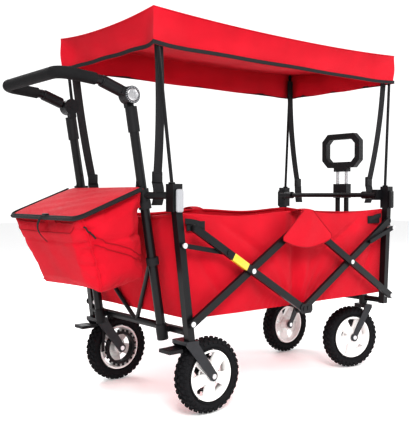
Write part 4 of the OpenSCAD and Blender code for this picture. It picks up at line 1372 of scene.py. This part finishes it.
class WAGON_OT_fittings(WagonTask):
    """Caps and collars on the corner clamps, hinge faces, grip collars and the reflective band"""

    bl_idname = "wagon.fittings"
    bl_label = "Fittings"

    def make(self):
        self.clamp_caps()
        self.hinge_faces()
        self.band()
        self.rings()

    def clamp_caps(self):
        outer = high("push_clamps").y
        spots = (("push", push_x, "push_frame"), ("pull", pull_x, "pull_frame"))
        for end, line, body in spots:
            for word, side in SIDES.items():
                x = line(0.555)
                grey = end == "push" and side < 0
                cap = rounded(f"{word}_{end}_clamp_cap", (x, side * (outer + 0.0048), 0.556),
                              (0.021, 0.011, 0.058), 0.0052, 5)
                fit(cap, body, "knuckle_grey" if grey else "black_plastic")
                ring = self.ring_points(line(0.600), side * self.pole_y(end), 0.600, 0.0068)
                collar = tube(f"{word}_{end}_pole_collar", ring, 0.0022, closed=True, sides=3)
                fit(collar, body, "black_plastic")

    def pole_y(self, end):
        return high(f"{end}_poles").y - 0.006

    def ring_points(self, x, y, z, radius):
        turns = [k * math.pi / 12 for k in range(24)]
        return [(x + radius * math.cos(a), y + radius * math.sin(a), z) for a in turns]

    def hinge_faces(self):
        """Bright domed faces on the push handle's hinges, with a ring of ribs."""
        at = pivot("push_handle_tilt")
        outer = high("knuckle_discs").y
        for word, side in SIDES.items():
            face = button(f"{word}_hinge_face", (at.x, side * (outer + 0.0002), at.z), 0.0155, 0.005, (0, side, 0))
            fit(face, "push_handle", "bright_steel")
            rib = block("rib", (0.0042, 0.0022, 0.0018), (0.0188, 0, 0))
            bevel(rib, 0.0005, 2)
            copies(rib, [Matrix.Rotation(math.pi * k / 12, 4, "Y") for k in range(24)])
            rib.data.transform(Matrix.Translation((at.x, side * (outer + 0.0006), at.z)))
            rib.name = f"{word}_hinge_ribs"
            settle(rib, 40)
            fit(rib, "push_handle", "knuckle_grey")

    def band(self):
        """Yellow reflective band wrapped on the near bar."""
        bar = pivot("bottom_plate_turn") - Vector((PUSH.x, 0, pivot("top_plate_turn").z))
        along = bar.normalized()
        outer = low("front_bars").y
        start, reach = 0.150, 0.060
        centre = Vector((PUSH.x, 0, pivot("top_plate_turn").z)) + along * (start + reach / 2)
        band = block("reflective_band", (reach, 0.0112, 0.0206))
        bevel(band, 0.0012, 3)
        turn = Matrix.Rotation(math.atan2(-along.z, along.x), 4, "Y")
        y = -(abs(outer) - 0.0050)
        band.data.transform(Matrix.Translation((centre.x, y, centre.z)) @ turn)
        settle(band, 40)
        fit(band, "rear_cross_bars", "black_plastic", "reflector")

    def rings(self):
        """Foam grip's end collars."""
        at = pivot("push_handle_tilt")
        for word, side in SIDES.items():
            direction = Vector((-math.cos(ARM_RISE), 0, math.sin(ARM_RISE)))
            spot = Vector((at.x, side * 0.154, at.z)) + direction * 0.0835
            turn = Vector((0, 0, 1)).rotation_difference(direction).to_matrix().to_4x4()
            ring = [Matrix.Translation(spot) @ turn @ Vector((0.0128 * math.cos(a), 0.0128 * math.sin(a), 0))
                    for a in (k * math.pi / 16 for k in range(32))]
            fit(tube(f"{word}_socket_lip", [tuple(p) for p in ring], 0.0022, closed=True, sides=3),
                "push_handle", "black_plastic")


# ---------------------------------------------------------------- studio


class WAGON_OT_studio(WagonTask):
    """Pale floor, soft lights and the camera"""

    bl_idname = "wagon.studio"
    bl_label = "Studio"

    def light(self, name, at, target, size, power, tint=(1, 1, 1)):
        lamp = bpy.data.lights.new(name, "AREA")
        lamp.shape = "RECTANGLE"
        lamp.size, lamp.size_y = size
        lamp.energy = power
        lamp.color = tint
        holder = bpy.data.objects.new(name, lamp)
        bpy.context.collection.objects.link(holder)
        holder.location = at
        holder.rotation_euler = (Vector(target) - Vector(at)).to_track_quat("-Z", "Y").to_euler()

    def make(self):
        floor = primitive("plane", "floor", size=24)
        floor.data.materials.append(finish("studio"))
        world = bpy.data.worlds.new("studio_sky")
        bpy.context.scene.world = world
        world.use_nodes = True
        nodes, links = world.node_tree.nodes, world.node_tree.links
        sky, seen = nodes["Background"], nodes.new("ShaderNodeLightPath")
        sky.inputs["Color"].default_value = (1.0, 1.0, 1.0, 1)
        strength = nodes.new("ShaderNodeMapRange")
        strength.inputs["To Min"].default_value = sizes().sky
        strength.inputs["To Max"].default_value = 1.0
        links.new(seen.outputs["Is Camera Ray"], strength.inputs["Value"])
        links.new(strength.outputs["Result"], sky.inputs["Strength"])
        self.light("key", (-2.2, -3.4, 3.4), (0, 0, 0.4), (1.8, 1.8), 200, (1, 0.985, 0.96))
        self.light("fill", (3.4, -2.2, 2.2), (0, 0, 0.4), (2.4, 2.4), 60)
        self.light("back", (0.6, 3.6, 2.6), (0, 0, 0.5), (3.0, 1.6), 80)
        camera = bpy.data.cameras.new("view")
        camera.lens = VIEW_LENS
        camera.sensor_width = 36
        holder = bpy.data.objects.new("view", camera)
        bpy.context.collection.objects.link(holder)
        holder.location = (*VIEW_PLACE, sizes().view_height)
        look = Vector((*VIEW_HEADING, -math.tan(math.radians(VIEW_TILT))))
        holder.rotation_euler = look.to_track_quat("-Z", "Y").to_euler()
        bpy.context.scene.camera = holder
        bpy.context.scene.view_settings.view_transform = "Standard"
        bpy.context.scene.view_settings.look = "Medium High Contrast"


TASKS = (
    WAGON_OT_frame_finishes,
    WAGON_OT_tyres,
    WAGON_OT_rims,
    WAGON_OT_canopy,
    WAGON_OT_tub,
    WAGON_OT_floor_mat,
    WAGON_OT_pivot_flaps,
    WAGON_OT_bag,
    WAGON_OT_bag_lid,
    WAGON_OT_straps,
    WAGON_OT_fittings,
    WAGON_OT_studio,
)


class WAGON_PT_bench(Panel):
    """Sidebar list of the wagon's sizes, colours and tasks"""

    bl_label = "Folding pull wagon"
    bl_idname = "WAGON_PT_bench"
    bl_space_type = "VIEW_3D"
    bl_region_type = "UI"
    bl_category = "Wagon"

    def draw(self, context):
        for group in (context.scene.wagon_sizes, context.scene.wagon_colours):
            box = self.layout.box()
            for key in group.__annotations__:
                box.prop(group, key)
        for task in TASKS:
            self.layout.operator(task.bl_idname)


CLASSES = (WagonSizes, WagonColours, *TASKS, WAGON_PT_bench)


def register():
    for each in CLASSES:
        bpy.utils.register_class(each)
    bpy.types.Scene.wagon_sizes = PointerProperty(type=WagonSizes)
    bpy.types.Scene.wagon_colours = PointerProperty(type=WagonColours)


def unregister():
    del bpy.types.Scene.wagon_colours
    del bpy.types.Scene.wagon_sizes
    for each in reversed(CLASSES):
        bpy.utils.unregister_class(each)


def main():
    register()
    for task in TASKS:
        getattr(bpy.ops.wagon, task.bl_idname.split(".")[1])()
    bpy.context.view_layer.update()


if __name__ == "__main__":
    main()
